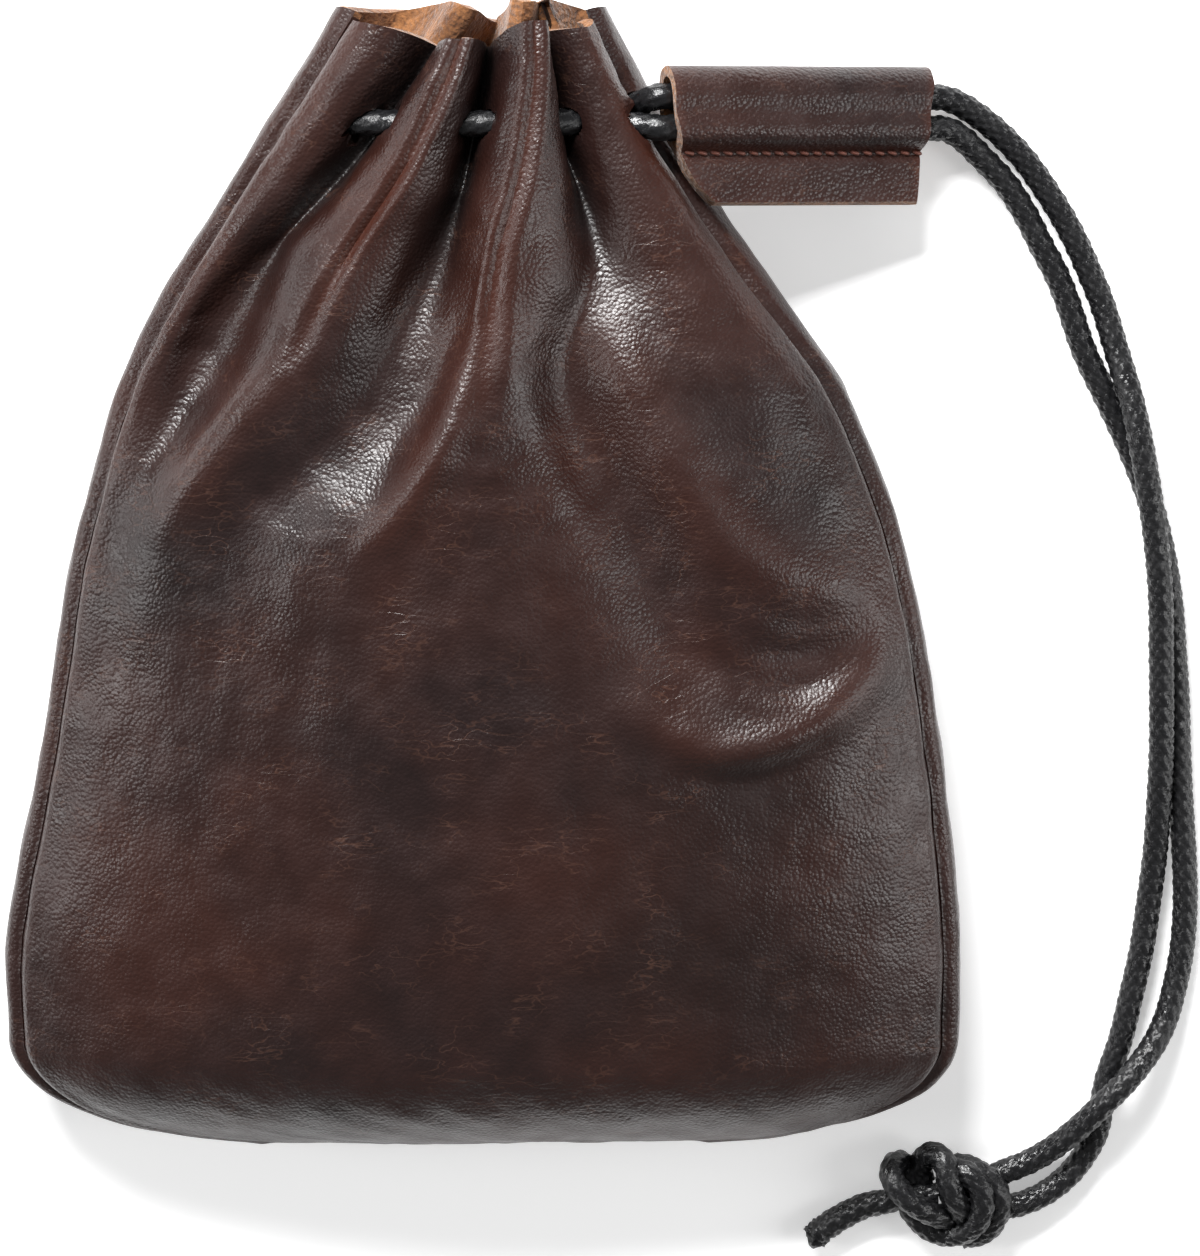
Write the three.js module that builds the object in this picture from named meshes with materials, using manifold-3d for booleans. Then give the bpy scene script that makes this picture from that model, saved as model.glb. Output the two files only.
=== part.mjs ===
// A leather drawstring pouch, lying on its back. Millimetres, +Z up.
// +Y runs from the bottom seam to the gathered neck, and the underside rests on Z = 0.
import * as THREE from 'three';
import { mergeVertices } from 'three/addons/utils/BufferGeometryUtils.js';
import Module from 'manifold-3d';

const wasm = await Module();
wasm.setup();

// Driving dimensions of the pouch
const BODY_WIDTH = 116.7;
const BODY_LENGTH = 138.6;
const BELLY_THICKNESS = 27;
const LEATHER_THICKNESS = 1.2;
const FOLD_DEPTH = 8.4;
const CORNER_REACH = 31;
const CORNER_RISE = 13;
const SEAM_GAP = 0.3;
const CLOSED_SHARE = 0.025;

// Driving dimensions of the cord, its slide and its knot
const CORD_DIAMETER = 3;
const CORD_CLEARANCE = 0.3;
const CORD_SPACING = 3.7;
const CORD_SHARE_DOWN = 0.095;
const SLIDE_LENGTH = 33.5;
const SLIDE_LEATHER = 1.3;
const SLIDE_FLAP = 6.5;
const SLIDE_SLOPE = THREE.MathUtils.degToRad(19.5);
const SLIDE_ROLL = THREE.MathUtils.degToRad(8);
const SLIDE_TURN = THREE.MathUtils.degToRad(-1.6);
const SLIDE_EASE = 0.5;
const SLIDE_TO_NECK = 0.5;
const SLIDE_RISE = 2.9;
const SLIDE_SLANT_LEFT = 0.17;
const SLIDE_SLANT_RIGHT = 0.055;
const KNOT_LENGTH = 14.5;
const KNOT_WIDTH = 11;
const KNOT_HEIGHT = 7.6;

// The share of the length above the origin, which is halfway between the bottom seam and the highest tip
const SHARE_ABOVE = 0.494;
// How a fold leans out over the valley beside it, as a share of the distance between the two
const FOLD_BULGE = 0.3;
// The rim's rises and dips die out over this share of the length
const RIM_FADE = 0.16;

// Sections of the pouch, from the rim down. Widths are shares of half the body width, heights of the belly.
const SECTIONS = [
  { down: 0, left: 0.283, right: 0.262, seamLeft: 0.46, seamRight: 0.36, crest: 0.90, under: 0.075 },
  { down: 0.045, left: 0.353, right: 0.316, seamLeft: 0.46, seamRight: 0.34, crest: 0.92, under: 0.055 },
  { down: 0.104, left: 0.441, right: 0.385, seamLeft: 0.46, seamRight: 0.32, crest: 0.93, under: 0.04 },
  { down: 0.164, left: 0.526, right: 0.482, seamLeft: 0.45, seamRight: 0.32, crest: 0.95, under: 0.02 },
  { down: 0.25, left: 0.653, right: 0.625, seamLeft: 0.44, seamRight: 0.36, crest: 0.97, under: 0 },
  { down: 0.336, left: 0.748, right: 0.758, seamLeft: 0.42, seamRight: 0.39, crest: 0.99, under: 0 },
  { down: 0.467, left: 0.836, right: 0.876, seamLeft: 0.40, seamRight: 0.39, crest: 1, under: 0 },
  { down: 0.6, left: 0.893, right: 0.942, seamLeft: 0.38, seamRight: 0.38, crest: 1, under: 0 },
  { down: 0.732, left: 0.955, right: 0.982, seamLeft: 0.36, seamRight: 0.36, crest: 0.97, under: 0 },
  { down: 0.849, left: 1, right: 1, seamLeft: 0.34, seamRight: 0.34, crest: 0.92, under: 0 },
  { down: 1, left: 0.985, right: 0.997, seamLeft: 0.31, seamRight: 0.31, crest: 0.80, under: 0 },
];

// Where the folds are: across the section as shares of its half width, from the left, at six stations down
const STATIONS = { rim: 0, neck: 0.1, shoulder: 0.2, chest: 0.33, waist: 0.47, low: 0.78 };
const FRONT_FOLDS = [
  { fold: 'left_seam', rim: -0.93, neck: -0.945, shoulder: -0.96, chest: -0.97, waist: -0.97, low: -0.97 },
  { fold: 'left_ridge', rim: -0.80, neck: -0.84, shoulder: -0.90, chest: -0.94, waist: -0.95, low: -0.86 },
  { fold: 'left_valley', rim: -0.36, neck: -0.52, shoulder: -0.74, chest: -0.81, waist: -0.88, low: -0.66 },
  { fold: 'second_ridge', rim: -0.07, neck: -0.20, shoulder: -0.42, chest: -0.56, waist: -0.80, low: -0.45 },
  { fold: 'middle_valley', rim: 0.21, neck: 0.07, shoulder: -0.10, chest: -0.32, waist: -0.575, low: -0.25 },
  { fold: 'third_ridge', rim: 0.49, neck: 0.33, shoulder: 0.12, chest: 0, waist: -0.30, low: -0.05 },
  { fold: 'right_valley', rim: 0.71, neck: 0.62, shoulder: 0.50, chest: 0.27, waist: 0.36, low: 0.30 },
  { fold: 'right_ridge', rim: 0.86, neck: 0.84, shoulder: 0.86, chest: 0.88, waist: 0.90, low: 0.70 },
  { fold: 'right_seam', rim: 0.96, neck: 0.955, shoulder: 0.95, chest: 0.97, waist: 0.97, low: 0.97 },
];
const BACK_FOLDS = [
  { fold: 'left_ridge', rim: -0.72, neck: -0.76, shoulder: -0.80, chest: -0.84, waist: -0.85, low: -0.80 },
  { fold: 'left_valley', rim: -0.36, neck: -0.46, shoulder: -0.56, chest: -0.62, waist: -0.60, low: -0.55 },
  { fold: 'second_ridge', rim: -0.02, neck: -0.12, shoulder: -0.25, chest: -0.32, waist: -0.32, low: -0.30 },
  { fold: 'middle_valley', rim: 0.20, neck: 0.12, shoulder: 0.02, chest: 0, waist: 0, low: 0 },
  { fold: 'third_ridge', rim: 0.40, neck: 0.36, shoulder: 0.30, chest: 0.32, waist: 0.32, low: 0.30 },
  { fold: 'right_valley', rim: 0.60, neck: 0.58, shoulder: 0.56, chest: 0.60, waist: 0.60, low: 0.55 },
  { fold: 'right_ridge', rim: 0.82, neck: 0.82, shoulder: 0.82, chest: 0.84, waist: 0.85, low: 0.80 },
];
// How deep each fold line lies under the section, as shares of the fold depth
const FRONT_DEPTHS = [
  { fold: 'left_seam', rim: 0.12, neck: 0.14, shoulder: 0.12, chest: 0.05, waist: 0, low: 0 },
  { fold: 'left_ridge', rim: 0.02, neck: 0, shoulder: 0, chest: 0, waist: 0, low: 0 },
  { fold: 'left_valley', rim: 0.80, neck: 0.85, shoulder: 0.60, chest: 0.24, waist: 0.06, low: 0 },
  { fold: 'second_ridge', rim: 0.04, neck: 0, shoulder: 0, chest: 0, waist: 0, low: 0 },
  { fold: 'middle_valley', rim: 0.90, neck: 1, shoulder: 0.70, chest: 0.36, waist: 0.14, low: 0 },
  { fold: 'third_ridge', rim: 0, neck: 0, shoulder: 0, chest: 0, waist: 0, low: 0 },
  { fold: 'right_valley', rim: 0.85, neck: 0.95, shoulder: 0.72, chest: 0.42, waist: 0.18, low: 0 },
  { fold: 'right_ridge', rim: 0, neck: 0, shoulder: 0, chest: 0, waist: 0, low: 0 },
  { fold: 'right_seam', rim: 0.16, neck: 0.24, shoulder: 0.22, chest: 0.06, waist: 0, low: 0 },
];
const BACK_DEPTHS = [
  { fold: 'left_ridge', rim: 0, neck: 0, shoulder: 0, chest: 0, waist: 0, low: 0 },
  { fold: 'left_valley', rim: 0.75, neck: 0.85, shoulder: 0.5, chest: 0.12, waist: 0, low: 0 },
  { fold: 'second_ridge', rim: 0, neck: 0, shoulder: 0, chest: 0, waist: 0, low: 0 },
  { fold: 'middle_valley', rim: 0.85, neck: 0.9, shoulder: 0.55, chest: 0.15, waist: 0, low: 0 },
  { fold: 'third_ridge', rim: 0, neck: 0, shoulder: 0, chest: 0, waist: 0, low: 0 },
  { fold: 'right_valley', rim: 0.75, neck: 0.85, shoulder: 0.5, chest: 0.12, waist: 0, low: 0 },
  { fold: 'right_ridge', rim: 0, neck: 0, shoulder: 0, chest: 0, waist: 0, low: 0 },
];
// How far the cut rim stands above or below its mean line at each fold, as shares of the fold depth
const FRONT_RIM = [0, -0.03, -0.34, -0.12, -0.16, 0.20, 0.06, 0.14, 0.05];
const BACK_RIM = [0, 0.05, -0.05, -0.10, -0.10, 0.04, -0.04, 0.02];

// Half the height of a cord hole, as a share of the length
const HOLE_SHARE = (CORD_DIAMETER / 2 + CORD_CLEARANCE) / BODY_LENGTH;
// The rows of the panels, as shares of the length. The rows past the last one here follow the bottom's round.
const PANEL_ROWS = [
  0, 0.026, 0.053, CORD_SHARE_DOWN - HOLE_SHARE, CORD_SHARE_DOWN + HOLE_SHARE, 0.136, 0.168, 0.205, 0.25, 0.3,
  0.36, 0.43, 0.51, 0.6, 0.7, 0.8,
];
const BOTTOM_ROWS = 6;
const COLUMNS_PER_FOLD = { front: 5, back: 4 };
const COLUMNS_AT_SEAM = 2;

// The two free ends of the cord. Points chosen by hand from the slide's right mouth to the knot.
const OUTER_ROUTE = [
  [54.41, 57.31, 3.74], [55.8, 57.12, 3.25], [57.6, 56.37, 2.70], [59.8, 54.97, 2.20], [62.5, 52.77, 1.80],
  [65.4, 49.77, 1.60], [67.9, 46.37, 1.55], [70.2, 42.77, 1.55], [72.0, 39.47, 1.55], [73.6, 35.97, 1.55],
  [75.1, 32.37, 1.60], [76.9, 26.67, 2.30], [78.7, 20.67, 3.75], [80.0, 14.77, 4.70], [81.1, 8.67, 4.90],
  [82.0, 2.57, 4.85], [82.6, -3.63, 4.60], [82.8, -9.83, 4.40], [83.0, -16.13, 4.15], [83.1, -22.53, 3.90],
  [83.0, -28.93, 3.25], [82.8, -35.33, 2.20], [82.2, -41.73, 1.60], [81.4, -48.03, 1.55], [80.1, -54.43, 1.55],
  [79.0, -59.53, 1.55], [77.4, -64.63, 1.55], [76.8, -68.23, 1.55], [76.2, -71.33, 1.55], [74.9, -74.03, 1.55],
  [72.8, -76.83, 1.60], [69.9, -79.13, 1.80], [67.2, -80.23, 2.30], [65.5, -80.63, 2.60],
];
const INNER_ROUTE = [
  [54.48, 53.64, 4.22], [55.9, 53.47, 3.70], [57.8, 52.37, 3.00], [60.3, 49.97, 2.20], [63.3, 46.77, 1.70],
  [65.9, 42.77, 1.58], [67.6, 39.47, 1.55], [69.5, 35.97, 1.55], [71.0, 32.37, 1.55], [73.0, 26.67, 1.55],
  [76.0, 20.57, 1.55], [78.9, 14.47, 1.55], [81.3, 8.37, 1.55], [83.0, 2.17, 1.55], [84.1, -4.03, 1.55],
  [84.7, -10.23, 1.55], [85.2, -16.43, 1.55], [85.5, -22.73, 1.55], [85.9, -29.03, 1.55], [86.4, -35.33, 1.55],
  [86.7, -41.63, 1.55], [86.4, -47.93, 1.60], [85.5, -53.03, 1.80], [84.4, -56.83, 2.40], [82.8, -59.83, 3.40],
  [79.8, -63.53, 4.70], [76.7, -66.73, 5.05], [73.7, -69.93, 4.50], [70.5, -72.93, 3.40], [67.4, -74.93, 2.85],
  [64.4, -76.13, 2.80],
];
const KNOT_CENTRE = [57.8, -79.43, 3.9];
const TAIL_ROUTE = [[50.6, -81.43, 2.6], [48.0, -82.23, 1.8], [44.6, -83.83, 1.55], [40.6, -86.13, 1.55]];

// A smooth value between the rows of a table, which never passes the rows beside it
function between(places, values, place) {
  const last = places.length - 1;
  const at = Math.min(Math.max(place, places[0]), places[last]);
  let i = 0;
  while (i < last - 1 && at > places[i + 1]) i += 1;
  const slope = (k) => (values[k + 1] - values[k]) / (places[k + 1] - places[k]);
  const tangent = (k) => {
    if (k === 0) return slope(0);
    if (k === last) return slope(last - 1);
    const [before, after] = [slope(k - 1), slope(k)];
    return before * after <= 0 ? 0 : (2 * before * after) / (before + after);
  };
  const step = places[i + 1] - places[i];
  const t = (at - places[i]) / step;
  const rise = t * t * (3 - 2 * t);
  return values[i] * (1 - rise) + values[i + 1] * rise
    + step * t * (1 - t) * ((1 - t) * tangent(i) - t * tangent(i + 1));
}

// The outline and the heights of the section at a share of the length, in millimetres
function sectionAt(down) {
  const places = SECTIONS.map((row) => row.down);
  const read = (column) => between(places, SECTIONS.map((row) => row[column]), down);
  const roundStart = 1 - CORNER_RISE / BODY_LENGTH;
  const into = Math.min(Math.max((down - roundStart) / (1 - roundStart), 0), 1);
  const closing = Math.sqrt(Math.max(1 - into * into, CLOSED_SHARE ** 2));
  const reach = CORNER_REACH * (1 - closing);
  const left = read('left') * BODY_WIDTH / 2 - reach;
  const right = read('right') * BODY_WIDTH / 2 - reach;
  return {
    middle: (right - left) / 2,
    half: (right + left) / 2,
    seamLeft: read('seamLeft') * BELLY_THICKNESS,
    seamRight: read('seamRight') * BELLY_THICKNESS,
    crest: read('crest') * BELLY_THICKNESS,
    under: read('under') * BELLY_THICKNESS,
    closing,
    y: BODY_LENGTH * (SHARE_ABOVE - down),
  };
}

// The unfolded section. round is 0 at the left edge, 1 at the right edge, past the front, and -1 past the back.
// The front is a half ellipse. The back is flattened where it lies on the ground.
function ringPoint(section, round) {
  const wrapped = round > 1 ? round - 2 : (round <= -1 ? round + 2 : round);
  const angle = Math.PI * Math.abs(wrapped);
  const across = -Math.cos(angle);
  const seam = section.seamLeft + (section.seamRight - section.seamLeft) * (across + 1) / 2;
  const arch = Math.max(Math.sin(angle), 0);
  const front = (section.crest - seam) * section.closing * arch;
  const back = (seam - section.under) * section.closing * Math.min(1, 1.18 * arch ** 0.8);
  return [section.middle + section.half * across, wrapped >= 0 ? seam + front : seam - back];
}

const roundOf = (across) => Math.acos(THREE.MathUtils.clamp(-across, -1, 1)) / Math.PI;

// The fold lines of one panel at a share of the length: their places round the section, depths and rim heights
function foldLines(side, down) {
  const places = Object.values(STATIONS);
  const names = Object.keys(STATIONS);
  const read = (row) => between(places, names.map((name) => row[name]), down);
  const seams = [FRONT_FOLDS[0], FRONT_FOLDS[FRONT_FOLDS.length - 1]].map((row) => roundOf(read(row)));
  const seamDepths = [FRONT_DEPTHS[0], FRONT_DEPTHS[FRONT_DEPTHS.length - 1]].map(read);
  const front = FRONT_FOLDS.map((row, i) => ({
    round: roundOf(read(row)), depth: read(FRONT_DEPTHS[i]) * FOLD_DEPTH, rise: FRONT_RIM[i] * FOLD_DEPTH,
  }));
  if (side === 'front') return front;
  const edge = (round, depth) => ({ round, depth: depth * FOLD_DEPTH, rise: 0 });
  const back = BACK_FOLDS.map((row, i) => ({
    round: -roundOf(read(row)), depth: read(BACK_DEPTHS[i]) * FOLD_DEPTH, rise: BACK_RIM[i] * FOLD_DEPTH,
  }));
  return [edge(seams[0], seamDepths[0]), edge(0, 0), ...back, edge(-1, 0), edge(seams[1] - 2, seamDepths[1])];
}

// A point on the leather's outer face. along counts the fold lines from the panel's left seam: 2.5 is halfway
// between the third line and the fourth. Each fold sinks by a cosine and leans out over its valley by a sine.
function outerPoint(side, along, down) {
  const lines = foldLines(side, down);
  const i = Math.min(Math.floor(along), lines.length - 2);
  const share = along - i;
  const [from, to] = [lines[i], lines[i + 1]];
  const section = sectionAt(down);
  const round = from.round + (to.round - from.round) * share;
  const ease = (1 - Math.cos(Math.PI * share)) / 2;
  const depth = from.depth + (to.depth - from.depth) * ease;
  const step = 1e-4;
  const before = ringPoint(section, round - step);
  const after = ringPoint(section, round + step);
  const length = Math.hypot(after[0] - before[0], after[1] - before[1]) || 1;
  const tangent = [(after[0] - before[0]) / length, (after[1] - before[1]) / length];
  const start = ringPoint(section, from.round);
  const end = ringPoint(section, to.round);
  const spacing = Math.hypot(end[0] - start[0], end[1] - start[1]);
  const fall = (to.depth - from.depth) / FOLD_DEPTH;
  const sink = fall > 0 ? ease : 1 - ease;
  const forward = side === 'front' ? 1 : -1;
  const lean = forward * FOLD_BULGE * spacing * fall * Math.sin(Math.PI * share) * (1 - 0.4 * sink);
  const [x, z] = ringPoint(section, round);
  const rise = (from.rise + (to.rise - from.rise) * ease) * Math.max(1 - down / RIM_FADE, 0) ** 2;
  return new THREE.Vector3(
    x + tangent[1] * depth + tangent[0] * lean,
    section.y + rise,
    z - tangent[0] * depth + tangent[1] * lean,
  );
}

// The outward normal of the outer face, from short steps along it and down it
function outerNormal(side, along, down, last) {
  const step = 0.01;
  const fine = 0.0005;
  const left = outerPoint(side, Math.max(along - step, 0), down);
  const right = outerPoint(side, Math.min(along + step, last), down);
  const above = outerPoint(side, along, Math.max(down - fine, 0));
  const below = outerPoint(side, along, Math.min(down + fine, 1));
  const normal = right.sub(left).cross(above.sub(below)).normalize();
  return side === 'front' ? normal : normal.negate();
}

// The normal at a side seam, where both panels end in the same plane. It leaves the folds out.
function seamNormal(side, end, down) {
  const lines = foldLines(side, down);
  const { round } = lines[end === 0 ? 0 : lines.length - 1];
  const place = (at, share) => {
    const section = sectionAt(share);
    const [x, z] = ringPoint(section, at);
    return new THREE.Vector3(x, section.y, z);
  };
  const turn = place(round + 1e-3, down).sub(place(round - 1e-3, down));
  const fall = place(round, Math.min(down + 5e-4, 1)).sub(place(round, Math.max(down - 5e-4, 0)));
  return fall.cross(turn).normalize();
}

// Shares of the length at which a panel has its rows: the chosen ones, then even steps round the bottom's edge
function panelRows() {
  const start = 1 - CORNER_RISE / BODY_LENGTH;
  const turns = Array.from({ length: BOTTOM_ROWS + 1 }, (_, k) => Math.sin((Math.PI / 2) * (k / BOTTOM_ROWS)));
  return [...PANEL_ROWS, ...turns.map((turn) => start + (1 - start) * turn)];
}

// Where a panel has its columns, counted in fold lines. The back panel's strips at the seams are narrow.
function panelColumns(side, last) {
  const places = [0];
  for (let line = 0; line < last; line += 1) {
    const strip = side === 'back' && (line === 0 || line === last - 1);
    const count = strip ? COLUMNS_AT_SEAM : COLUMNS_PER_FOLD[side];
    for (let k = 1; k <= count; k += 1) places.push(line + k / count);
  }
  return places;
}

// One leather panel: the outer face, the inner face one thickness inside it, and the cut edges between them.
// The cord's holes are the cells of the grid that the cord's path comes too near to.
function panelGeometry(side, cordPath) {
  const last = foldLines(side, 0).length - 1;
  const columns = panelColumns(side, last);
  const rows = panelRows();
  const outer = [];
  const inner = [];
  for (const down of rows) {
    for (const along of columns) {
      const point = outerPoint(side, along, down);
      const atSeam = along === 0 || along === last;
      let normal = atSeam ? seamNormal(side, along, down) : outerNormal(side, along, down, last);
      if (down === 1) normal = new THREE.Vector3(0, -1, 0);
      const edge = new THREE.Vector3();
      if (atSeam && down < 1) {
        const inward = outerPoint(side, along === 0 ? 0.2 : last - 0.2, down).sub(point);
        inward.addScaledVector(normal, -inward.dot(normal)).normalize();
        edge.addScaledVector(inward, SEAM_GAP / 2);
      }
      if (down === 1) edge.z += (side === 'front' ? 1 : -1) * SEAM_GAP / 2;
      outer.push(point.clone().add(edge));
      inner.push(point.clone().add(edge).addScaledVector(normal, -LEATHER_THICKNESS));
    }
  }
  const isOpen = openCells(outer, inner, rows.length, columns.length, cordPath);
  return closedSheet(outer, inner, rows.length, columns.length, isOpen);
}

// Which cells of a panel's grid the cord goes through: those with a point nearer to its path than its clearance
function openCells(outer, inner, rowCount, columnCount, cordPath) {
  const reach = CORD_DIAMETER / 2 + CORD_CLEARANCE;
  const shares = [0, 0.25, 0.5, 0.75, 1];
  const isNear = (grid, r, c) => {
    const [a, b, d, e] = [[r, c], [r, c + 1], [r + 1, c], [r + 1, c + 1]].map(([i, j]) => grid[i * columnCount + j]);
    return shares.some((s) => shares.some((t) => {
      const point = a.clone().lerp(b, s).lerp(d.clone().lerp(e, s), t);
      return cordPath.some((place) => place.distanceTo(point) < reach);
    }));
  };
  const open = new Set();
  for (let r = 0; r < rowCount - 1; r += 1) {
    for (let c = 0; c < columnCount - 1; c += 1) {
      if (isNear(outer, r, c) || isNear(inner, r, c)) open.add(r * columnCount + c);
    }
  }
  return (r, c) => open.has(r * columnCount + c);
}

// A closed wall between two grids of points with the same rows and columns, with the open cells left out
function closedSheet(outer, inner, rowCount, columnCount, isOpen) {
  const positions = [...outer, ...inner].flatMap((p) => [p.x, p.y, p.z]);
  const shift = outer.length;
  const triangles = [];
  const quad = (a, b, c, d) => triangles.push(a, b, c, a, c, d);
  const wall = (a, b) => quad(a, b, shift + b, shift + a);
  const at = (r, c) => r * columnCount + c;
  const isLeather = (r, c) => r >= 0 && c >= 0 && r < rowCount - 1 && c < columnCount - 1 && !isOpen(r, c);
  for (let r = 0; r < rowCount - 1; r += 1) {
    for (let c = 0; c < columnCount - 1; c += 1) {
      if (!isLeather(r, c)) continue;
      quad(at(r, c), at(r + 1, c), at(r + 1, c + 1), at(r, c + 1));
      quad(shift + at(r, c), shift + at(r, c + 1), shift + at(r + 1, c + 1), shift + at(r + 1, c));
      if (!isLeather(r - 1, c)) wall(at(r, c), at(r, c + 1));
      if (!isLeather(r + 1, c)) wall(at(r + 1, c + 1), at(r + 1, c));
      if (!isLeather(r, c - 1)) wall(at(r + 1, c), at(r, c));
      if (!isLeather(r, c + 1)) wall(at(r, c + 1), at(r + 1, c + 1));
    }
  }
  const geometry = new THREE.BufferGeometry();
  geometry.setAttribute('position', new THREE.Float32BufferAttribute(positions, 3));
  geometry.setIndex(triangles);
  return facingOut(welded(geometry));
}

// Turns a closed mesh round if its volume comes out negative
function facingOut(geometry) {
  const { array } = geometry.getAttribute('position');
  const index = geometry.getIndex().array;
  const corner = (k) => new THREE.Vector3().fromArray(array, 3 * index[k]);
  let volume = 0;
  for (let k = 0; k < index.length; k += 3) volume += corner(k).dot(corner(k + 1).cross(corner(k + 2)));
  if (volume < 0) {
    for (let k = 0; k < index.length; k += 3) [index[k], index[k + 1]] = [index[k + 1], index[k]];
  }
  return geometry;
}

// The smooth line through chosen points
function cordCurve(route) {
  return new THREE.CatmullRomCurve3(route.map((p) => new THREE.Vector3(...p)), false, 'centripetal');
}

// A round cord along chosen points
function cordGeometry(route, diameter, sides, steps) {
  const section = new THREE.Shape();
  for (let k = 0; k < sides; k += 1) {
    const angle = (2 * Math.PI * (k + 0.5)) / sides;
    const [x, y] = [Math.cos(angle) * diameter / 2, Math.sin(angle) * diameter / 2];
    if (k === 0) section.moveTo(x, y);
    else section.lineTo(x, y);
  }
  return new THREE.ExtrudeGeometry(section, { extrudePath: cordCurve(route), steps, bevelEnabled: false });
}

// A mesh that has only its corners, each shared by the triangles that meet there
function welded(geometry) {
  const plain = new THREE.BufferGeometry();
  plain.setAttribute('position', geometry.getAttribute('position').clone());
  if (geometry.getIndex()) plain.setIndex(geometry.getIndex().clone());
  return mergeVertices(plain, 1e-4);
}

// A closed mesh as a solid that can be joined and cut
function solidOf(geometry) {
  const merged = welded(geometry);
  return new wasm.Manifold(new wasm.Mesh({
    numProp: 3,
    vertProperties: new Float32Array(merged.getAttribute('position').array),
    triVerts: new Uint32Array(merged.getIndex().array),
  }));
}

function geometryOf(solid) {
  const mesh = solid.getMesh();
  const geometry = new THREE.BufferGeometry();
  geometry.setAttribute('position', new THREE.Float32BufferAttribute(mesh.vertProperties, 3));
  geometry.setIndex(Array.from(mesh.triVerts));
  return geometry;
}

// Where the slide's left mouth is: just right of the neck, at the height of the two cords that come out of it
const cordSection = sectionAt(CORD_SHARE_DOWN);
const slideFrame = new THREE.Group();
slideFrame.position.set(
  cordSection.middle + cordSection.half + SLIDE_TO_NECK,
  cordSection.y + SLIDE_RISE,
  BELLY_THICKNESS * 0.56,
);
slideFrame.rotation.set(-SLIDE_ROLL, SLIDE_SLOPE, SLIDE_TURN, 'ZYX');
slideFrame.updateMatrixWorld(true);

// The slide's section: across runs down the picture from the fold, up from its underside
const CHANNEL_HEIGHT = CORD_DIAMETER / 2 + CORD_CLEARANCE;
const FOLD_HEIGHT = CHANNEL_HEIGHT + SLIDE_LEATHER;
const FOLD_REACH = FOLD_HEIGHT + SLIDE_EASE;
const LOWER_CORD = FOLD_REACH + CORD_SPACING;
const STITCH_LINE = LOWER_CORD + CHANNEL_HEIGHT + SLIDE_LEATHER * 0.6;
const SLIDE_WIDTH = STITCH_LINE + SLIDE_FLAP;

// The place of a point of the slide: right of its left mouth, across from its fold, up from its underside
function inSlide(right, across, up) {
  return slideFrame.localToWorld(new THREE.Vector3(right, FOLD_REACH - across, up - FOLD_HEIGHT));
}

// Points on an arc of the slide's section, from one angle to another, in degrees
function arcPoints(across, reach, height, from, to, steps) {
  return Array.from({ length: steps + 1 }, (_, k) => {
    const angle = THREE.MathUtils.degToRad(from + ((to - from) * k) / steps);
    return new THREE.Vector2(across + reach * Math.cos(angle), FOLD_HEIGHT + height * Math.sin(angle));
  });
}

// One strip of leather folded over both cords, and sewn to itself below them
function slideGeometry() {
  const flapHeight = 2 * SLIDE_LEATHER;
  const fall = new THREE.CubicBezierCurve(
    new THREE.Vector2(LOWER_CORD, 2 * FOLD_HEIGHT),
    new THREE.Vector2(STITCH_LINE - FOLD_HEIGHT * 0.4, 2 * FOLD_HEIGHT),
    new THREE.Vector2(STITCH_LINE - FOLD_HEIGHT * 0.4, flapHeight),
    new THREE.Vector2(STITCH_LINE + FOLD_HEIGHT * 0.2, flapHeight),
  );
  const outline = new THREE.Shape([
    new THREE.Vector2(SLIDE_WIDTH, 0),
    ...arcPoints(FOLD_REACH, FOLD_REACH, FOLD_HEIGHT, 270, 90, 8),
    ...fall.getPoints(6),
    new THREE.Vector2(SLIDE_WIDTH, flapHeight),
  ]);
  outline.holes.push(new THREE.Path([
    ...arcPoints(LOWER_CORD, CHANNEL_HEIGHT, CHANNEL_HEIGHT, -90, 90, 6),
    ...arcPoints(FOLD_REACH, CHANNEL_HEIGHT + SLIDE_EASE, CHANNEL_HEIGHT, 90, 270, 6),
  ]));
  const geometry = new THREE.ExtrudeGeometry(outline, { depth: 1, steps: 4, bevelEnabled: false });
  const position = geometry.getAttribute('position');
  for (let k = 0; k < position.count; k += 1) {
    const across = position.getX(k);
    const left = SLIDE_LENGTH * SLIDE_SLANT_LEFT * (across / SLIDE_WIDTH) ** 3;
    const right = SLIDE_LENGTH * (1 - SLIDE_SLANT_RIGHT * (across / SLIDE_WIDTH));
    const place = inSlide(left + (right - left) * position.getZ(k), across, position.getY(k));
    position.setXYZ(k, place.x, place.y, place.z);
  }
  return facingOut(welded(geometry));
}

// The cord's run inside the slide, the neck and back. It goes through the front pleats, round the left edge
// and back through the back pleats, half a fold deep.
function neckRoute() {
  const strand = (right, across) => inSlide(right, across, FOLD_HEIGHT).toArray();
  const inset = FOLD_DEPTH * 0.52;
  const held = (round, lift) => {
    const down = CORD_SHARE_DOWN;
    const section = sectionAt(down);
    const step = 1e-4;
    const [before, after] = [ringPoint(section, round - step), ringPoint(section, round + step)];
    const length = Math.hypot(after[0] - before[0], after[1] - before[1]);
    const [x, z] = ringPoint(section, round);
    return [
      x + ((after[1] - before[1]) / length) * inset,
      section.y + lift,
      z - ((after[0] - before[0]) / length) * inset,
    ];
  };
  const loop = [];
  const turns = 22;
  for (let k = 0; k <= turns; k += 1) loop.push(held(0.80 - (1.60 * k) / turns, 0));
  const cordEnd = SLIDE_LENGTH + CORD_CLEARANCE;
  const inTheSlide = [1, 0.75, 0.5, 0.25, 0.1, 0, -0.03].map((share) => share * cordEnd);
  return [
    ...inTheSlide.map((right) => strand(right, LOWER_CORD)),
    ...loop,
    ...inTheSlide.reverse().map((right) => strand(right, FOLD_REACH)),
  ];
}

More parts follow.
